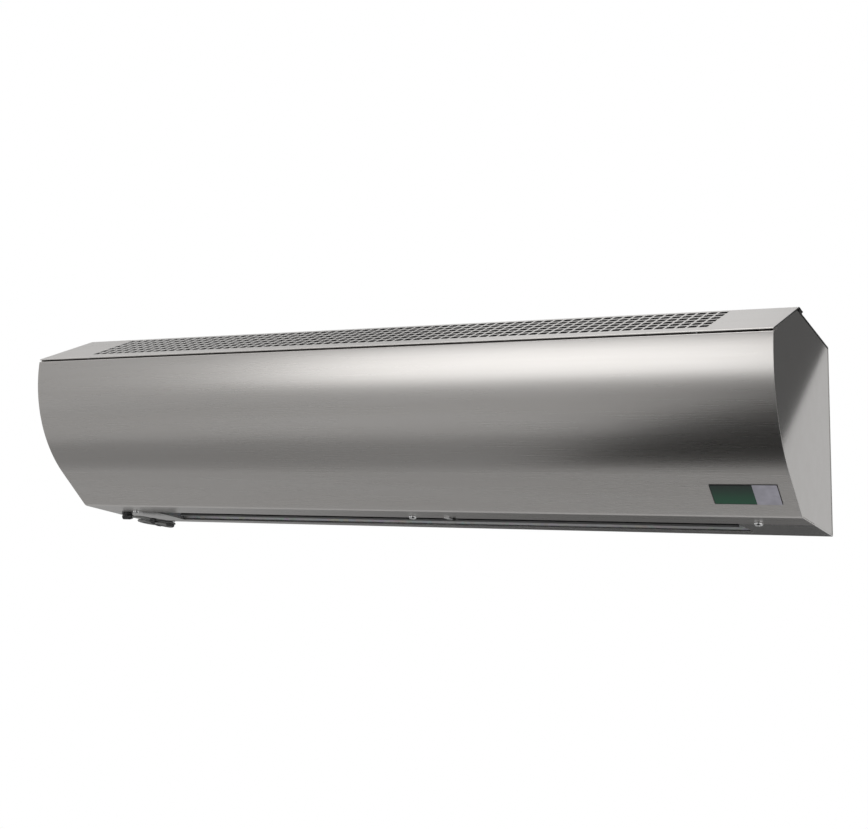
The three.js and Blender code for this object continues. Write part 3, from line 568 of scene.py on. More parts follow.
def cut_marks_in_painted_shade(finish, dark, light):
    """The rough tone of a cut edge, made dark as painted shade."""
    return finish.mix(finish.noise(*CUT_MARKS), grey(dark), grey(light))


steel = brushed_steel("brushed steel", 0.60, 0.28, 0.035)
steel_ends = brushed_steel("brushed steel of the ends", 0.57, 0.09, 0.02)

# Painted shade: near-black metal for the cut ends of the top sheet and the screws' recesses, where
# dark shadow lines fall.
painted_shade_dark_metal = Finish("dark metal as painted shade on cut edges and recesses", Metallic=1.0, Roughness=0.5)
painted_shade_dark_metal.to(Base_Color=cut_marks_in_painted_shade(painted_shade_dark_metal, 0.06, 0.16))

# The walls of the slots are pale at the left-hand end, and darker towards the right: painted light
# fading into painted shade, by place along X.
slot_wall_painted_light_and_shade = Finish("slot wall with painted light and shade", Metallic=1.0, Roughness=0.45)
slot_wall_painted_light_and_shade.to(Base_Color=slot_wall_painted_light_and_shade.mix(
    slot_wall_painted_light_and_shade.ramp(slot_wall_painted_light_and_shade.axis("X"), -0.42, 0.1),
    grey(0.45), cut_marks_in_painted_shade(slot_wall_painted_light_and_shade, 0.07, 0.17)))

# %% [markdown]
# ### The other finishes
#
# Zinc-coated sheet has faint spangles, mill aluminium is plain and soft, and the plastics differ
# by gloss and by a fine moulded texture.

# %% Other finishes
def zinc_sheet():
    zinc = Finish("zinc-coated sheet", Metallic=1.0)
    spangle = zinc.add(
        "ShaderNodeTexVoronoi", {"Vector": zinc.place(), "Scale": 160.0}, "Color", feature="F1")
    patches = zinc.noise(25, 3)
    tint = zinc.mix(0.12, grey(0.50, -0.006), spangle)
    colour = zinc.mix(zinc.ramp(patches, 0.3, 0.7), tint, grey(0.56, -0.004))
    return zinc.to(Base_Color=colour, Roughness=0.40 + 0.14 * patches,
                   Normal=zinc.bump(zinc.noise(400, 2), 0.04))


def back_sheet():
    """Zinc on the back and the roof; brushed like the rest along its underside and cut ends, except
    that the cut end along the roof is painted near-black as shade.
    """
    sheet = Finish("back sheet", Metallic=1.0)
    x, y, z = (sheet.axis(name) for name in "XYZ")
    above_floor = z - CHIN.y - (y - CHIN.x) * math.tan(floor_face.angle)
    at_end = (HALF - 0.6 * MM, HALF - 0.3 * MM)  # the cut ends of the sheet
    zinc_side = (sheet.ramp(above_floor, 1.6 * MM, 2.2 * MM)
                 * sheet.ramp(abs(x), *at_end, 1, 0))
    # Painted shade: the cut end along the roof is near-black, standing in for the shadow line
    # between the end cap and the roof.
    roof_end_painted_shade = (sheet.ramp(abs(x), *at_end)
                * sheet.ramp(y, -2.5 * MM, -1.5 * MM, 1, 0) * sheet.ramp(z, 0.05, 0.06))
    patches = sheet.noise(25, 3)
    coated = sheet.mix(sheet.ramp(patches, 0.3, 0.7), grey(0.49, -0.006), grey(0.56, -0.004))
    brushed = sheet.mix(sheet.noise(*STREAKS), grey(0.60, 0.02), grey(0.66, 0.02))
    colour = sheet.mix(roof_end_painted_shade, sheet.mix(zinc_side, brushed, coated), grey(0.04))
    return sheet.to(Base_Color=colour,
                    Roughness=0.22 + zinc_side * (0.18 + 0.14 * patches),
                    Normal=sheet.bump(sheet.noise(400, 2), 0.03))


def plain_metal(name, tone, roughness, warmth=0.0):
    metal = Finish(name, Metallic=1.0)
    wear = metal.noise(120, 3, 0.6)
    colour = metal.mix(wear, grey(tone * 0.9, warmth), grey(tone * 1.08, warmth))
    return metal.to(Base_Color=colour, Roughness=roughness + 0.12 * (wear - 0.5),
                    Normal=metal.bump(metal.noise(900, 2), 0.05))


def plastic(name, colour, roughness, texture=0.08):
    moulded = Finish(name)
    skin = moulded.noise(1400, 2, 0.5)
    marks = moulded.noise(70, 3, 0.6)
    darker = tuple(part * 0.82 for part in colour) + (1,)
    tone = moulded.mix(moulded.ramp(marks, 0.35, 0.65), darker, tuple(colour) + (1,))
    return moulded.to(Base_Color=tone, Roughness=roughness + 0.12 * (marks - 0.5),
                      Normal=moulded.bump(skin, texture))


zinc = zinc_sheet()
back_finish = back_sheet()
aluminium = plain_metal("mill aluminium", 0.72, 0.32)
# Painted shade: the vane lies in the shade of the slot, so its aluminium is painted dark instead of
# mill-bright.
vane_painted_shade_metal = plain_metal("aluminium darkened as painted shade", 0.17, 0.5)
bright = plain_metal("bright plated steel", 0.70, 0.22)
rod_metal = plain_metal("heat-dulled steel", 0.30, 0.42, 0.05)
black = plastic("black nylon", (0.022, 0.022, 0.023), 0.42)
rubber = plastic("rubber", (0.02, 0.02, 0.02), 0.7, 0.15)
motor_paint = plastic("motor paint", (0.045, 0.05, 0.055), 0.38)
cream = plastic("cream plastic", (0.62, 0.57, 0.44), 0.4)
circuit_board = plastic("circuit board", (0.03, 0.16, 0.07), 0.35)
cable = plastic("cable jacket", (0.23, 0.23, 0.225), 0.22, 0.04)

# %% [markdown]
# ### Solids that stay
#
# The hidden working parts, seen only through the slots, keep their solids and get finishes.

# %% Finishes for the solids that stay
KEPT = {
    "back_plate": back_finish,
    "nozzle_front": zinc, "volute": zinc, "fan_side_left": zinc, "fan_side_right": zinc,
    "bearing_bracket": zinc, "motor_bracket": zinc,
    "wheel": aluminium,
    "wheel_shaft": bright, "bearing": bright, "motor_shaft": bright,
    "bearing_bush": rubber,
    "motor_body": motor_paint,
    "motor_capacitor": cream, "thermal_cutout": cream, "terminal_block": cream,
    "heating_rod_front": rod_metal, "heating_rod_rear": rod_metal,
    "control_board": circuit_board,
}
for name, finish in KEPT.items():
    NODES[name].data.materials.clear()
    NODES[name].data.materials.append(finish)

# %% [markdown]
# ## Front panel
#
# One sheet makes the whole front: a flange under the top sheet, the curve, a flat, a bend at the
# chin, and a flange under the floor. The curve is spun in 60 steps so that its reflection runs
# smoothly, which is what sells brushed steel.

# %% Front panel
TOP_RETURN = 13 * MM
FLANGE_DEPTH = 40 * MM
CHIN_BEND = 2.5 * MM

drawn = Drawn("front_panel_sheet", FRONT_CORNER + top.way * TOP_RETURN, -HALF, HALF)
drawn.to(FRONT_CORNER).arc(FRONT_CENTRE, FRONT_WRAP - front_start, 60)
drawn.to(CHIN, floor_face.at(FLANGE_DEPTH))
print("bends found", drawn.bend(FRONT_CORNER, 0.5 * MM), drawn.bend(CHIN, CHIN_BEND))
front_panel = drawn.done()
thicken(front_panel, SHEET, (0, -1, 0))
soften(front_panel, 0.2 * MM)
finish_piece(front_panel, "casing", "stainless", steel, "front_panel")

# %% [markdown]
# ## Top sheet with its slots
#
# A press cuts the slots one row at a time, so each is a rectangle with small round corners. We
# model one cell of the pattern, a rectangle with its slot cut out, array it into rows and
# columns, and then draw the plain margins and the ridge flange out of the outer edges.

# %% Top sheet
SLOT_COLUMNS, SLOT_ROWS = 68, 6
SLOT_PITCH, ROW_PITCH = 10 * MM, 11.4 * MM
SLOT_LENGTH, ROW_WIDTH = 7.7 * MM, 8.6 * MM
SLOT_CORNER = 0.8 * MM
FIRST_ROW = 19 * MM
FIELD_X = SLOT_COLUMNS / 2 * SLOT_PITCH
FIELD_FRONT = FIRST_ROW - ROW_PITCH / 2
FIELD_REAR = FIELD_FRONT + SLOT_ROWS * ROW_PITCH
RIDGE_LAP = 12 * MM
RIDGE_BEND = 1.3 * MM
FRONT_ROLL = 0.7 * MM


def slot_cell():
    """One cell with its slot, flat at the origin, at the front left corner of the pattern."""
    centre = Vector((-(SLOT_COLUMNS - 1) / 2 * SLOT_PITCH, FIRST_ROW, 0))
    bpy.ops.object.select_all(action="DESELECT")
    bpy.ops.mesh.primitive_plane_add(size=1)
    cell = bpy.context.object
    cell.name = "top_panel_sheet"
    cell.scale = (SLOT_PITCH, ROW_PITCH, 1)
    cell.location = centre
    bpy.ops.object.transform_apply(location=True, rotation=False, scale=True)
    edit(cell)
    bpy.ops.mesh.select_all(action="SELECT")
    bpy.ops.mesh.inset(thickness=(SLOT_PITCH - SLOT_LENGTH) / 2, use_even_offset=True)
    pick(cell, "FACE", lambda face: (middle(face) - centre).length < WELD)
    mesh = bmesh.from_edit_mesh(cell.data)
    for face in mesh.faces:
        if face.select:
            for vert in face.verts:
                vert.co.y = centre.y + math.copysign(ROW_WIDTH / 2, vert.co.y - centre.y)
                vert.co.x = centre.x + math.copysign(SLOT_LENGTH / 2, vert.co.x - centre.x)
    bmesh.update_edit_mesh(cell.data)
    bpy.ops.mesh.bevel(offset=SLOT_CORNER, segments=2, affect="VERTICES")
    pick(cell, "FACE", lambda face: (middle(face) - centre).length < WELD)
    bpy.ops.mesh.delete(type="FACE")
    leave()
    return cell


def near(value, target):
    return abs(value - target) < NEAR


def grow_edge(obj, test, step):
    """Draws the chosen boundary edges out by a step."""
    pick(obj, "EDGE", lambda edge: edge.is_boundary and test(middle(edge)))
    extrude(step)


def top_sheet():
    sheet = slot_cell()
    for count, step in ((SLOT_COLUMNS, (SLOT_PITCH, 0, 0)), (SLOT_ROWS, (0, ROW_PITCH, 0))):
        apply_modifier(
            sheet, "ARRAY", count=count, use_relative_offset=False, use_constant_offset=True,
            constant_offset_displace=step, use_merge_vertices=True, merge_threshold=WELD,
        )
    edit(sheet)
    grow_edge(sheet, lambda place: near(place.y, FIELD_FRONT), (0, -FIELD_FRONT, 0))
    grow_edge(sheet, lambda place: near(place.y, FIELD_REAR), (0, top.length - FIELD_REAR, 0))
    for side in (-1, 1):
        grow_edge(sheet, lambda place: near(place.x, side * FIELD_X),
                  (side * (HALF - FIELD_X), 0, 0))
    drop = Vector((RIDGE_LAP, 0))
    drop.rotate(Matrix.Rotation(lap.angle - top.angle, 2))
    grow_edge(sheet, lambda place: near(place.y, top.length), (0, drop.x, drop.y))
    pick(sheet, "EDGE", lambda edge: near(middle(edge).y, top.length) and near(middle(edge).z, 0))
    bpy.ops.mesh.bevel(offset=RIDGE_BEND, segments=5, affect="EDGES")
    weld()
    leave()
    put(sheet, 0, TOP_EDGE, top.angle)
    return sheet


top_panel = top_sheet()
thicken(top_panel, TOP_SHEET, (0, -top.way.y, top.way.x))
edit(top_panel)
rolled = pick(top_panel, "EDGE", lambda edge: (
    (in_section(middle(edge)) - TOP_EDGE).length < NEAR and runs_along(edge, 0)))
bpy.ops.mesh.bevel(offset=FRONT_ROLL, segments=4, affect="EDGES")
leave()
print("front edge rolled along", rolled, "edges")
soften(top_panel, 0.15 * MM, 1)
finish_piece(top_panel, "casing", "stainless", steel, "top_panel")
for finish in (slot_wall_painted_light_and_shade, painted_shade_dark_metal):
    top_panel.data.materials.append(finish.material)


def in_slots(face):
    """Walls of the slots: they stand square to the sheet, inside the pattern."""
    place = in_section(face.center) - TOP_EDGE
    upright = abs(in_section(face.normal).dot(top.up)) < 0.6
    return upright and abs(face.center.x) < FIELD_X and (
        FIELD_FRONT < place.dot(top.way) < FIELD_REAR)


walls = [face for face in top_panel.data.polygons if in_slots(face)]
cut_ends = [face for face in top_panel.data.polygons
            if abs(face.normal.x) > 0.3 and abs(face.center.x) > HALF - 0.6 * MM]
# The slot walls get painted light and shade, and the cut ends the dark metal of painted shade.
for index, faces in enumerate((walls, cut_ends), 1):
    for face in faces:
        face.material_index = index
print(len(walls), "slot walls and", len(cut_ends), "cut ends")

# %% [markdown]
# ## End caps
#
# Each end is closed by a shallow pan that sits just inside the sheets. Its outline is drawn as a
# chain of vertices, filled, and drawn inwards, and its outer edge is rounded.

# %% End caps
INSIDE = TOP_SHEET + GAP
END_INSET = 0.35 * MM
END_SHEET = 1.0 * MM
END_FLANGE = 12 * MM
RIM_ROUND = 0.4 * MM
ROOF_START = lap.at(2 * MM, -(TOP_SHEET + 2.4 * MM))
roof = Face(ROOF_START, WALL_TOP)


def crossing(first, second):
    """Where two faces' lines cross."""
    reach = second.start - first.start
    along = reach.cross(second.way) / first.way.cross(second.way)
    return first.at(along)


def moved(face, inset):
    """The same face, moved to its left."""
    return Face(face.at(0, inset), face.at(face.length, inset))


def cap_outline(name, inset, x):
    """The outline of what fits inside the sheets, as a filled face square to X."""
    top_line, roof_line = moved(top, -inset), moved(roof, -inset)
    wall_line = moved(Face(WALL_BOTTOM, WALL_TOP), inset)
    floor_line = moved(floor_face, inset)
    lower_line = moved(lower_front, inset)
    arc_end = on_front(FRONT_WRAP, inset)
    reach = math.asin((TOP_EDGE.y - 2 * INSIDE - FRONT_CENTRE.y) / (FRONT_RADIUS - inset))
    drawn = Drawn(name, arc_end, x)
    drawn.arc(FRONT_CENTRE, -FRONT_WRAP - reach, 40)
    drawn.to(top_line.at(INSIDE), crossing(top_line, roof_line), crossing(roof_line, wall_line),
             crossing(wall_line, floor_line), crossing(floor_line, lower_line), arc_end)
    return drawn.close()


def end_cap(side):
    hand = "right" if side > 0 else "left"
    outer = side * (HALF - END_INSET)
    cap = cap_outline(f"end_cap_sheet_{hand}", INSIDE, outer).obj
    bpy.ops.mesh.select_all(action="SELECT")
    extrude((-side * END_FLANGE, 0, 0))
    bpy.ops.mesh.delete(type="ONLY_FACE")
    leave()
    edit(cap)
    rim = pick(cap, "EDGE", lambda edge: all(abs(v.co.x - outer) < WELD for v in edge.verts))
    print("rim edges", rim)
    bpy.ops.mesh.bevel(offset=RIM_ROUND, segments=3, affect="EDGES")
    leave()
    thicken(cap, END_SHEET, (side, 0, 0))
    soften(cap, 0.15 * MM, 1, 60)
    finish_piece(cap, "casing", "stainless", steel_ends, f"end_cap_{hand}")


for side in (-1, 1):
    end_cap(side)

# %% [markdown]
# ## Outlet vane
#
# The vane is a strip with a rolled bead along its lower edge and a tube through its middle that
# ends in the two pins it tilts on. Its outline is drawn once and pulled along X.

# %% Outlet vane
OUTLET_HALF = HALF - 69 * MM
VANE_HALF = OUTLET_HALF - 9 * MM
VANE_PIN_HALF = OUTLET_HALF + 3.2 * MM  # the pins reach through the fan's sides
VANE_CHORD = 23 * MM
VANE_SHEET = 1.4 * MM
VANE_BEAD = 1.5 * MM
VANE_TUBE = 2.5 * MM
VANE_AXIS = floor_face.at(72 * MM, 14 * MM)


def across_vane(width, height):
    """A place of the vane's section: width across it, height up along it."""
    return VANE_AXIS + floor_face.way * width + floor_face.up * height


def vane():
    half = VANE_SHEET / 2
    bead_at = -VANE_CHORD / 2 + VANE_BEAD / 2
    tube_cut = math.sqrt(VANE_TUBE ** 2 - half ** 2)
    bead_cut = math.sqrt(VANE_BEAD ** 2 - half ** 2)
    tube_turn = 2 * (math.pi / 2 - math.asin(half / VANE_TUBE))
    bead_turn = 2 * (math.pi - math.asin(half / VANE_BEAD))
    start = across_vane(-half, VANE_CHORD / 2)
    drawn = Drawn("outlet_vane_strip", start, -VANE_HALF)
    drawn.to(across_vane(-half, tube_cut)).arc(VANE_AXIS, tube_turn, 10)
    drawn.to(across_vane(-half, bead_at + bead_cut))
    drawn.arc(across_vane(0, bead_at), bead_turn, 14)
    drawn.to(across_vane(half, -tube_cut)).arc(VANE_AXIS, tube_turn, 10)
    drawn.to(across_vane(half, VANE_CHORD / 2), start).close()
    strip = drawn.obj
    bpy.ops.mesh.select_all(action="SELECT")
    extrude((2 * VANE_HALF, 0, 0))
    face_outwards()
    leave()
    pins = []
    for side in (-1, 1):
        reach = VANE_PIN_HALF - VANE_HALF
        bpy.ops.mesh.primitive_cylinder_add(
            vertices=24, radius=VANE_TUBE, depth=reach,
            location=(side * (VANE_HALF + reach / 2), VANE_AXIS.x, VANE_AXIS.y),
            rotation=(0, math.radians(90), 0),
        )
        pins.append(bpy.context.object)
        bpy.ops.object.transform_apply(location=True, rotation=True, scale=True)
    join(strip, *pins)
    soften(strip, 0.2 * MM)
    return strip


finish_piece(vane(), "vane", "aluminium", vane_painted_shade_metal, "outlet_vane")

# %% [markdown]
# ## Cover screws
#
# Three pan-head screws hold the front panel's flange. One head is spun from its profile, its
# cross recess is cut with two crossed wedges, and it is copied to its three places.

# %% Cover screws
SCREW_PLACES = [side * (HALF - 47.5 * MM) for side in (-1, 0, 1)]
SCREW_FROM_CHIN = 31 * MM
HEAD_RADIUS = 4 * MM
HEAD_HEIGHT = 3.0 * MM
SHANK_RADIUS = 2 * MM
SHANK_LENGTH = 9 * MM
DOME = [(0.0, 1.0), (0.45, 0.97), (0.75, 0.84), (0.93, 0.55), (1.0, 0.2), (1.0, 0.0)]
WING = (1.45 * HEAD_RADIUS, 1.3 * MM, 2.6 * MM)  # a wedge of the recess: span, width and depth
WING_TAPER = 0.55
RECESS_REACH = 0.74 * HEAD_RADIUS
RECESS_TOP, RECESS_FLOOR = -0.8 * HEAD_HEIGHT, -0.02 * HEAD_HEIGHT


def recess_cutter():
    """Two crossed wedges that taper inwards."""
    wings = []
    for turn in (0, math.radians(90)):
        wing = block("wing", WING, (0, 0, -HEAD_HEIGHT))
        wing.rotation_euler.z = turn
        bpy.ops.object.transform_apply(location=True, rotation=True, scale=True)
        edit(wing)
        pick(wing, "FACE", lambda face: face.normal.z > 0.9)
        bpy.ops.transform.resize(value=(WING_TAPER, WING_TAPER, 1))
        leave()
        wings.append(wing)
    apply_modifier(wings[0], "BOOLEAN", object=wings[1], operation="UNION", solver="EXACT")
    bpy.data.objects.remove(wings[1])
    return wings[0]


def screw():
    """A screw about Z with its head down, made by spinning half its outline."""
    outline = [Vector((out * HEAD_RADIUS, -down * HEAD_HEIGHT)) for out, down in DOME]
    outline += [Vector((SHANK_RADIUS, 0)), Vector((SHANK_RADIUS, SHANK_LENGTH)),
                Vector((0, SHANK_LENGTH))]
    drawn = Drawn("cover_screw", outline[0], 0.0)
    drawn.to(*outline[1:])
    bpy.ops.mesh.select_all(action="SELECT")
    bpy.ops.mesh.spin(steps=32, angle=2 * math.pi, center=(0, 0, 0), axis=(0, 0, 1))
    weld()
    face_outwards()
    leave()
    body = drawn.obj
    cutter = recess_cutter()
    apply_modifier(body, "BOOLEAN", object=cutter, operation="DIFFERENCE", solver="EXACT")
    bpy.data.objects.remove(cutter)
    soften(body, 0.12 * MM, 2, 50)
    # Painted shade: the recess's walls get the dark finish, standing in for the shade inside the
    # recess.
    for face in body.data.polygons:
        inside = face.center.to_2d().length < RECESS_REACH
        if inside and RECESS_TOP < face.center.z < RECESS_FLOOR:
            face.material_index = 1  # painted shade, in the same dark finish as the cut edges
    return body


first_screw = screw()
for number, x in enumerate(SCREW_PLACES, 1):
    copy = first_screw.copy()
    copy.data = first_screw.data.copy()
    copy.name = f"cover_screw_head_{number}"
    bpy.context.collection.objects.link(copy)
    put(copy, x, floor_face.at(SCREW_FROM_CHIN, -GAP), floor_face.angle)
    finish_piece(copy, "casing", "bright_steel", bright, f"cover_screw_{number}")
    copy.data.materials.append(painted_shade_dark_metal.material)
bpy.data.objects.remove(first_screw)

# %% [markdown]
# ## Slot clip
#
# A small folded tab with a rubber stop hangs on the flange's edge, where the vane would rattle.
# It is one short strip, drawn with a bend and thickened, and a stub with a domed end.

# %% Slot clip
CLIP_FROM, CLIP_TO = 34 * MM, 40.5 * MM  # its two sides, in X
CLIP_ROOT, CLIP_BEND, CLIP_TIP = 33 * MM, 47 * MM, 50 * MM  # along the floor, from the chin
CLIP_SHEET, CLIP_UNDER, CLIP_RISE = 0.8 * MM, 0.35 * MM, 2.2 * MM
STOP_X, STOP_FROM_CHIN, STOP_UNDER = 43 * MM, 38 * MM, 0.7 * MM
STOP_RADIUS, STOP_LENGTH, STOP_DOME = 1.6 * MM, 3.4 * MM, 0.5 * MM


def slot_clip():
    bend = floor_face.at(CLIP_BEND, -CLIP_UNDER)
    drawn = Drawn("slot_clip", floor_face.at(CLIP_ROOT, -CLIP_UNDER), CLIP_FROM, CLIP_TO)
    drawn.to(bend, floor_face.at(CLIP_TIP, CLIP_RISE)).bend(bend, 1 * MM, 4)
    clip = drawn.done()
    thicken(clip, -CLIP_SHEET, (0, 0, -1))
    soften(clip, 0.15 * MM)
    return clip


def slot_stop():
    bpy.ops.object.select_all(action="DESELECT")
    bpy.ops.mesh.primitive_cylinder_add(vertices=24, radius=STOP_RADIUS, depth=STOP_LENGTH)
    stop = bpy.context.object
    stop.name = "slot_stop"
    edit(stop)
    pick(stop, "FACE", lambda face: face.normal.z < -0.9)
    bpy.ops.mesh.inset(thickness=0.6 * MM)
    bpy.ops.transform.translate(value=(0, 0, -STOP_DOME))
    leave()
    put(stop, STOP_X, floor_face.at(STOP_FROM_CHIN, -STOP_UNDER), floor_face.angle)
    soften(stop, 0.2 * MM)
    return stop


finish_piece(slot_clip(), "casing", "bright_steel", bright)
finish_piece(slot_stop(), "casing", "rubber", rubber)

# %% [markdown]
# ## Name plate
#
# A thin two-colour plate sits low on the front, near the right-hand end. It is left without words.

# %% Name plate
PLATE_FROM, PLATE_SPLIT, PLATE_TO = 326.5 * MM, 364.5 * MM, 387.0 * MM
PLATE_TOP, PLATE_BOTTOM = 12 * MM, 36.4 * MM
PLATE_THICK = 0.5 * MM
PLATE_RIM = 0.9 * MM
FIELD_THICK = 0.25 * MM
RIM_LIFT = 0.02 * MM


def enamel(name, upper, lower):
    """Green that is deeper near its upper edge, under a clear coat."""
    coat = Finish(name, Roughness=0.45, Coat_Roughness=0.1)
    top_at, bottom_at = lower_front.at(PLATE_TOP).y, lower_front.at(PLATE_BOTTOM).y
    flecks = coat.noise(500, 2)
    tone = coat.mix(coat.ramp(coat.axis("Z"), bottom_at, top_at), lower + (1,), upper + (1,))
    return coat.to(Base_Color=tone, Coat_Weight=0.25 + 0.15 * flecks)


plate_green = enamel("green enamel", (0.006, 0.024, 0.017), (0.004, 0.085, 0.038))
plate_silver = plastic("silver film", (0.45, 0.44, 0.50), 0.3, 0.02)
plate_rim = plastic("plate rim", (0.012, 0.013, 0.013), 0.3, 0.02)


def plate(name, x_from, x_to, down_from, down_to, lift, thick, finish, corner):
    """A thin plate on the flat of the front, from its corners along X and down the flat."""
    part = block(name, (x_to - x_from, down_to - down_from, thick))
    edit(part)
    pick(part, "EDGE", lambda edge: runs_along(edge, 2))
    bpy.ops.mesh.bevel(offset=corner, segments=4, affect="EDGES")
    leave()
    put(part, (x_from + x_to) / 2,
        lower_front.at((down_from + down_to) / 2, -lift - thick / 2), lower_front.angle)
    soften(part, 0.08 * MM)
    finish_piece(part, "casing", "stainless", finish)


plate("name_plate_rim", PLATE_FROM, PLATE_TO, PLATE_TOP, PLATE_BOTTOM,
      RIM_LIFT, PLATE_THICK, plate_rim, 0.8 * MM)
plate("name_plate_green", PLATE_FROM + PLATE_RIM, PLATE_SPLIT,
      PLATE_TOP + PLATE_RIM, PLATE_BOTTOM - PLATE_RIM,
      PLATE_THICK, FIELD_THICK, plate_green, 0.4 * MM)
plate("name_plate_silver", PLATE_SPLIT + 0.1 * MM, PLATE_TO - 0.5 * MM,
      PLATE_TOP + 0.1 * MM, PLATE_BOTTOM - 0.1 * MM,
      PLATE_THICK, FIELD_THICK, plate_silver, 0.4 * MM)

# %% [markdown]
# ## Tie and connector
#
# The tie is a nylon strap with a square head and a cut tail; the lead ends in a small connector.

# %% Tie, connector and relief
TIE_WIDTH, TIE_SHEET = 4.5 * MM, 1.0 * MM
WAIST = INNER + STEP * HANK_STEPS / 2 / LOOP_STEPS - DRAWN_IN
TIE_Y = WAIST + CORD_RADIUS + GAP
TIE_Z = LAYER / 2 + CORD_RADIUS + GAP
HEAD_SIZE = Vector((5.6, 2.4, 4.2)) * MM
TAIL_TIP = Vector((-0.318, -0.050, -0.0842))
PLUG_SIZE = (8 * MM, 5 * MM, 3.4 * MM)


def strap():
    """The band round the waist: a rounded rectangle, pulled along X."""
    half = TIE_WIDTH / 2
    drawn = Drawn("hank_tie_strap", Vector((-TIE_Y, -TIE_Z)), -half, half)
    drawn.to(Vector((TIE_Y, -TIE_Z)), Vector((TIE_Y, TIE_Z)), Vector((-TIE_Y, TIE_Z)),
             Vector((-TIE_Y, -TIE_Z)))
    weld()
    for y in (-TIE_Y, TIE_Y):
        for z in (-TIE_Z, TIE_Z):
            drawn.bend(Vector((y, z)), 1.6 * MM, 4)
    band = drawn.done()
    thicken(band, -TIE_SHEET * 0.8, (0, 0, 1))
    return band


def tie_head():
    """The square head, with the slit that the strap runs through."""
    out = TIE_Y + TIE_SHEET + HEAD_SIZE.y / 2 - 0.3 * MM
    head = block("tie_head", HEAD_SIZE, (0, -out, 0), 0.4 * MM)
    edit(head)
    pick(head, "FACE", lambda face: face.normal.y < -0.9 and face.calc_area() > 5e-6)
    bpy.ops.mesh.inset(thickness=0.9 * MM)
    extrude((0, 0.9 * MM, 0))
    leave()
    return head


def tie_tail(tip):
    """The tail runs from the head to a rounded tip beyond the hank."""
    start = Vector((2 * MM, -TIE_Y - TIE_SHEET, 0.6 * MM))
    way = tip - start
    tail = block("tie_tail", (1, 2.6 * MM, 0.9 * MM), (0.5, 0, 0))
    edit(tail)
    bpy.ops.mesh.select_all(action="SELECT")
    bpy.ops.transform.resize(value=(way.length, 1, 1), center_override=(0, 0, 0))
    pick(tail, "EDGE", lambda edge: near(middle(edge).x, way.length) and runs_along(edge, 2))
    bpy.ops.mesh.bevel(offset=1.0 * MM, segments=4, affect="EDGES")
    leave()
    turn = way.to_track_quat("X", "Z").to_matrix().to_4x4()
    tail.data.transform(Matrix.Translation(start) @ turn)
    return tail


def connector_piece(end):
    """The small housing on the free end: a block with grips, a latch and a mouth."""
    length, width, height = PLUG_SIZE
    centre = end + Vector((GAP + length / 2, 0, 0))
    shell = block("lead_connector", PLUG_SIZE, centre, 0.45 * MM)
    edit(shell)
    pick(shell, "FACE", lambda face: face.normal.x > 0.9 and face.calc_area() > 5e-6)
    bpy.ops.mesh.inset(thickness=0.5 * MM)
    extrude((-1.6 * MM, 0, 0))
    leave()
    grips = [
        block("grip", (0.7 * MM, width + 0.5 * MM, height * 0.7),
              centre + Vector((step * 1.4 * MM - 2.2 * MM, 0, 0)), 0.15 * MM, 2)
        for step in range(3)
    ]
    latch = block("latch", (4.6 * MM, 1.8 * MM, 0.8 * MM),
                  centre + Vector((0.9 * MM, 0, height / 2)), 0.25 * MM)
    return join(shell, latch, *grips)


into_hank = HANK_MATRIX.inverted()
tie = join(strap(), tie_head(), tie_tail(into_hank @ TAIL_TIP))
soften(tie, 0.1 * MM)
connector = connector_piece(into_hank @ cord_points[-1])
soften(connector, 0.05 * MM, 1)
for piece in (tie, connector):
    piece.data.transform(HANK_MATRIX)

finish_piece(tie, "casing", "black_plastic", black, "hank_tie")
finish_piece(connector, "casing", "black_plastic", black, "lead_plug")
NODES["strain_relief"].data.materials.clear()
NODES["strain_relief"].data.materials.append(black)

cord.data.materials.append(cable)
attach(cord, "casing")
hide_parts("lead", "lead_hank")

# %% [markdown]
# ## Seal under the ridge
#
# A black rubber strip fills the gap between the top sheet's lap and the roof behind it. Only its
# two ends are seen.

# %% Ridge seal
SEAL_SIZE = (2 * HALF - 0.8 * MM, 9.5 * MM, 1.9 * MM)
SEAL_FROM_RIDGE, SEAL_UNDER = 6.4 * MM, 1.0 * MM

seal = block("ridge_seal", SEAL_SIZE, bevel=0.3 * MM, segments=2)
put(seal, 0, lap.at(SEAL_FROM_RIDGE, -TOP_SHEET - SEAL_UNDER), lap.angle)
soften(seal, 0.1 * MM, 1)
finish_piece(seal, "casing", "rubber", rubber)

# %% [markdown]
# ## Studio
#
# Brushed steel has hardly any colour of its own: what the picture shows is the studio in it. So
# the light is built as a photographer builds it. The background is white, behind the object and
# in its reflections. A soft panel beside the camera gives the bright band along the front. A grey
# wall behind the camera and a pale floor give the middle tones, and dark boards, called flags,
# give the deep ones. The boards are out of the camera's sight and throw no shadow.

# %% Background
WHITE = (1, 1, 1, 1)
ROOM = 0.62

world = bpy.data.worlds.new("studio")
bpy.context.scene.world = world
world.use_nodes = True
world_nodes, world_links = world.node_tree.nodes, world.node_tree.links
lighting = world_nodes["Background"]
lighting.inputs["Color"].default_value = grey(ROOM)
backdrop = world_nodes.new("ShaderNodeBackground")
backdrop.inputs["Color"].default_value = WHITE
paths = world_nodes.new("ShaderNodeLightPath")
either = paths.outputs["Is Camera Ray"]
for ray in ("Is Glossy Ray", "Is Transmission Ray"):
    greater = world_nodes.new("ShaderNodeMath")
    greater.operation = "MAXIMUM"
    world_links.new(either, greater.inputs[0])
    world_links.new(paths.outputs[ray], greater.inputs[1])
    either = greater.outputs[0]
chooser = world_nodes.new("ShaderNodeMixShader")
world_links.new(either, chooser.inputs[0])
world_links.new(lighting.outputs[0], chooser.inputs[1])
world_links.new(backdrop.outputs[0], chooser.inputs[2])
world_links.new(chooser.outputs[0], world_nodes["World Output"].inputs[0])


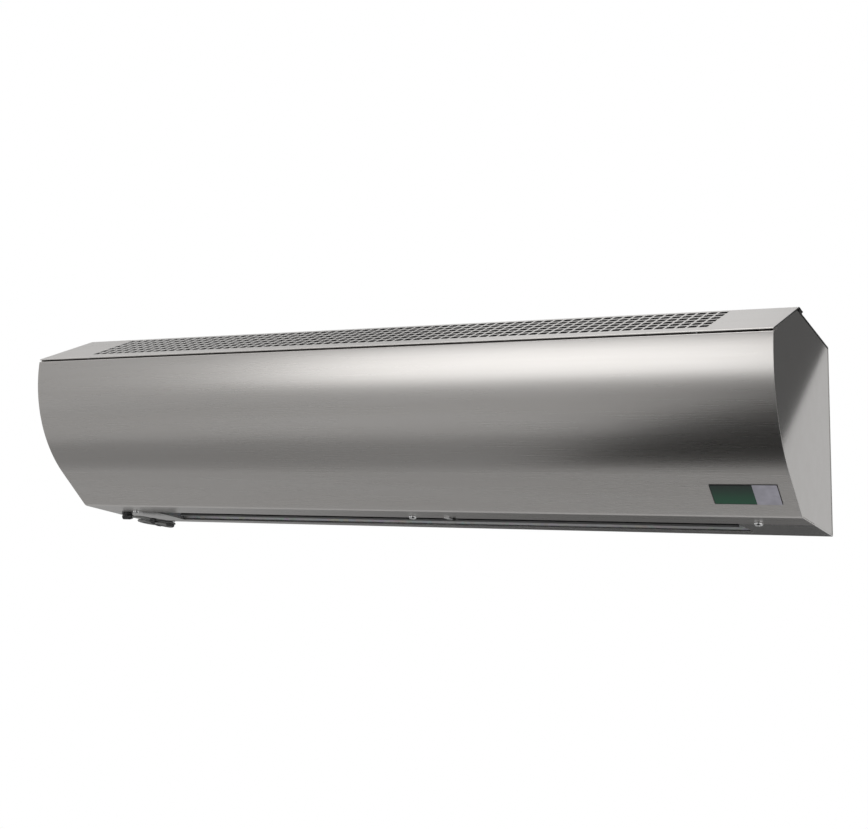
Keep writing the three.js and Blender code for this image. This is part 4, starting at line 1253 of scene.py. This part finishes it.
# %% [markdown]
# ### Lamps
#
# A lamp's power is worked out from its size and from how bright its face should look, so that a
# larger panel gives a wider reflection and not a brighter one.

# %% Lamps
def soft_panel(name, place, target, size, radiance):
    """A rectangular lamp that looks at a target."""
    bpy.ops.object.light_add(type="AREA", location=place)
    lamp = bpy.context.object
    lamp.name = name
    lamp.data.shape = "RECTANGLE"
    lamp.data.size, lamp.data.size_y = size
    lamp.data.energy = radiance * math.pi * size[0] * size[1]
    lamp.rotation_euler = (Vector(target) - Vector(place)).to_track_quat("-Z", "Y").to_euler()
    lamp.visible_camera = False


soft_panel("front_panel_light", (-0.60, -1.9, 0.28), (-0.60, 0, 0.28), (1.25, 0.85), 1.38)
soft_panel("top_light", (0.2, -0.2, 1.7), (0, -0.1, 0), (1.6, 1.2), 1.6)


# %% [markdown]
# ### Floor, wall and flags
#
# The floor is a pale surface lit by the lamps. Each board glows with a flat tone, and
# is given by its middle and two half sides. One of them fades along X.

# %% Floor, wall and flags
def board(name, centre, across, up, tone, fade=None):
    """A stage board from its middle and its two half sides.

    Fade gives two places in X and the tone at the first; from there it falls to the board's tone.
    """
    bpy.ops.object.select_all(action="DESELECT")
    bpy.ops.mesh.primitive_plane_add(size=2)
    obj = bpy.context.object
    obj.name = name
    centre, across, up = Vector(centre), Vector(across), Vector(up)
    obj.matrix_world = Matrix.Translation(centre) @ Matrix(
        [across, up, across.cross(up).normalized()]).transposed().to_4x4()
    bpy.ops.object.transform_apply(location=True, rotation=True, scale=True)
    surface = Finish(name + "_finish", Roughness=1.0, Base_Color=grey(0),
                     Emission_Color=grey(tone), Emission_Strength=1.0)
    surface.shader.inputs["Specular IOR Level"].default_value = 0
    if fade:
        fade_from, fade_to, first_tone = fade
        surface.to(Emission_Color=surface.mix(
            surface.ramp(surface.axis("X"), fade_from, fade_to), grey(first_tone), grey(tone)))
    obj.data.materials.append(surface.material)
    obj.visible_camera = obj.visible_diffuse = obj.visible_shadow = False


FLOOR_HEIGHT = -0.75
FLOOR_TONE = 0.56

bpy.ops.object.select_all(action="DESELECT")
bpy.ops.mesh.primitive_plane_add(size=1, location=(-0.7, -1.4, FLOOR_HEIGHT))
ground = bpy.context.object
ground.name = "studio_floor"
ground.scale = (4.4, 3.2, 1)
bpy.ops.object.transform_apply(location=True, rotation=True, scale=True)
pale = Finish("pale_floor", Roughness=0.9)
cloudy = pale.noise(3, 2)
ground.data.materials.append(pale.to(
    Base_Color=pale.mix(cloudy, grey(FLOOR_TONE * 0.98), grey(FLOOR_TONE * 1.02))))

# The dark board beside the end has its edge aslant, as the reflection in the end cap shows.
CAP_EDGE = Vector((0.463, 0.15, 0.049))
CAP_ALONG = Vector((0.428, 0, -0.904))
CAP_ACROSS = Vector((0.904, 0, 0.428))

board("wall_behind_camera", (-0.8, -2.3, 0.75), (3.4, 0, 0), (0, 0, 1.5), 0.41)
board("pale_board_behind", (-0.6, 2.2, 0.85), (2.4, 0, 0), (0, 0, 0.85), 0.67)
board("grey_board_behind", (-2.3, 2.0, 0.85), (1.1, 0, 0), (0, 0, 0.85), 0.45)
board("floor_behind", (-0.4, 1.7, FLOOR_HEIGHT), (2.6, 0, 0), (0, 1.5, 0), 0.5)
board("grey_flag_below", (-0.35, -0.44, -0.74), (1.0, 0, 0), (0, 0.27, 0), 0.26)
board("dark_flag_below", (0.75, -1.15, -0.73), (0.86, 0, 0), (0, 0.9, 0), 0.02)
board("dark_flag_right", (0.55, -2.0, -0.52), (0.8, 0, 0), (0, 0, 0.24), 0.06)
board("dark_flag_above", (0.35, -1.88, 1.2), (0.6, 0, 0), (0, 0, 0.45), 0.1)
board("dark_flag_behind", (-0.6, 0.9, -0.75), (1.5, 0, 0), (0, 0, 0.55), 0.07, (-1.6, -0.2, 0.4))
board("grey_flag_side", (0.9, 0.5, 0.2), (0.62, 0, 0), (0, 0, 0.9), 0.6)
board("dark_flag_side", CAP_EDGE + CAP_ACROSS * 0.4, CAP_ACROSS * 0.4, CAP_ALONG * 0.5, 0.105)

# %% [markdown]
# ## View
#
# The view shows tones as they are, with no film curve.

# %% View
bpy.context.scene.view_settings.view_transform = "Standard"
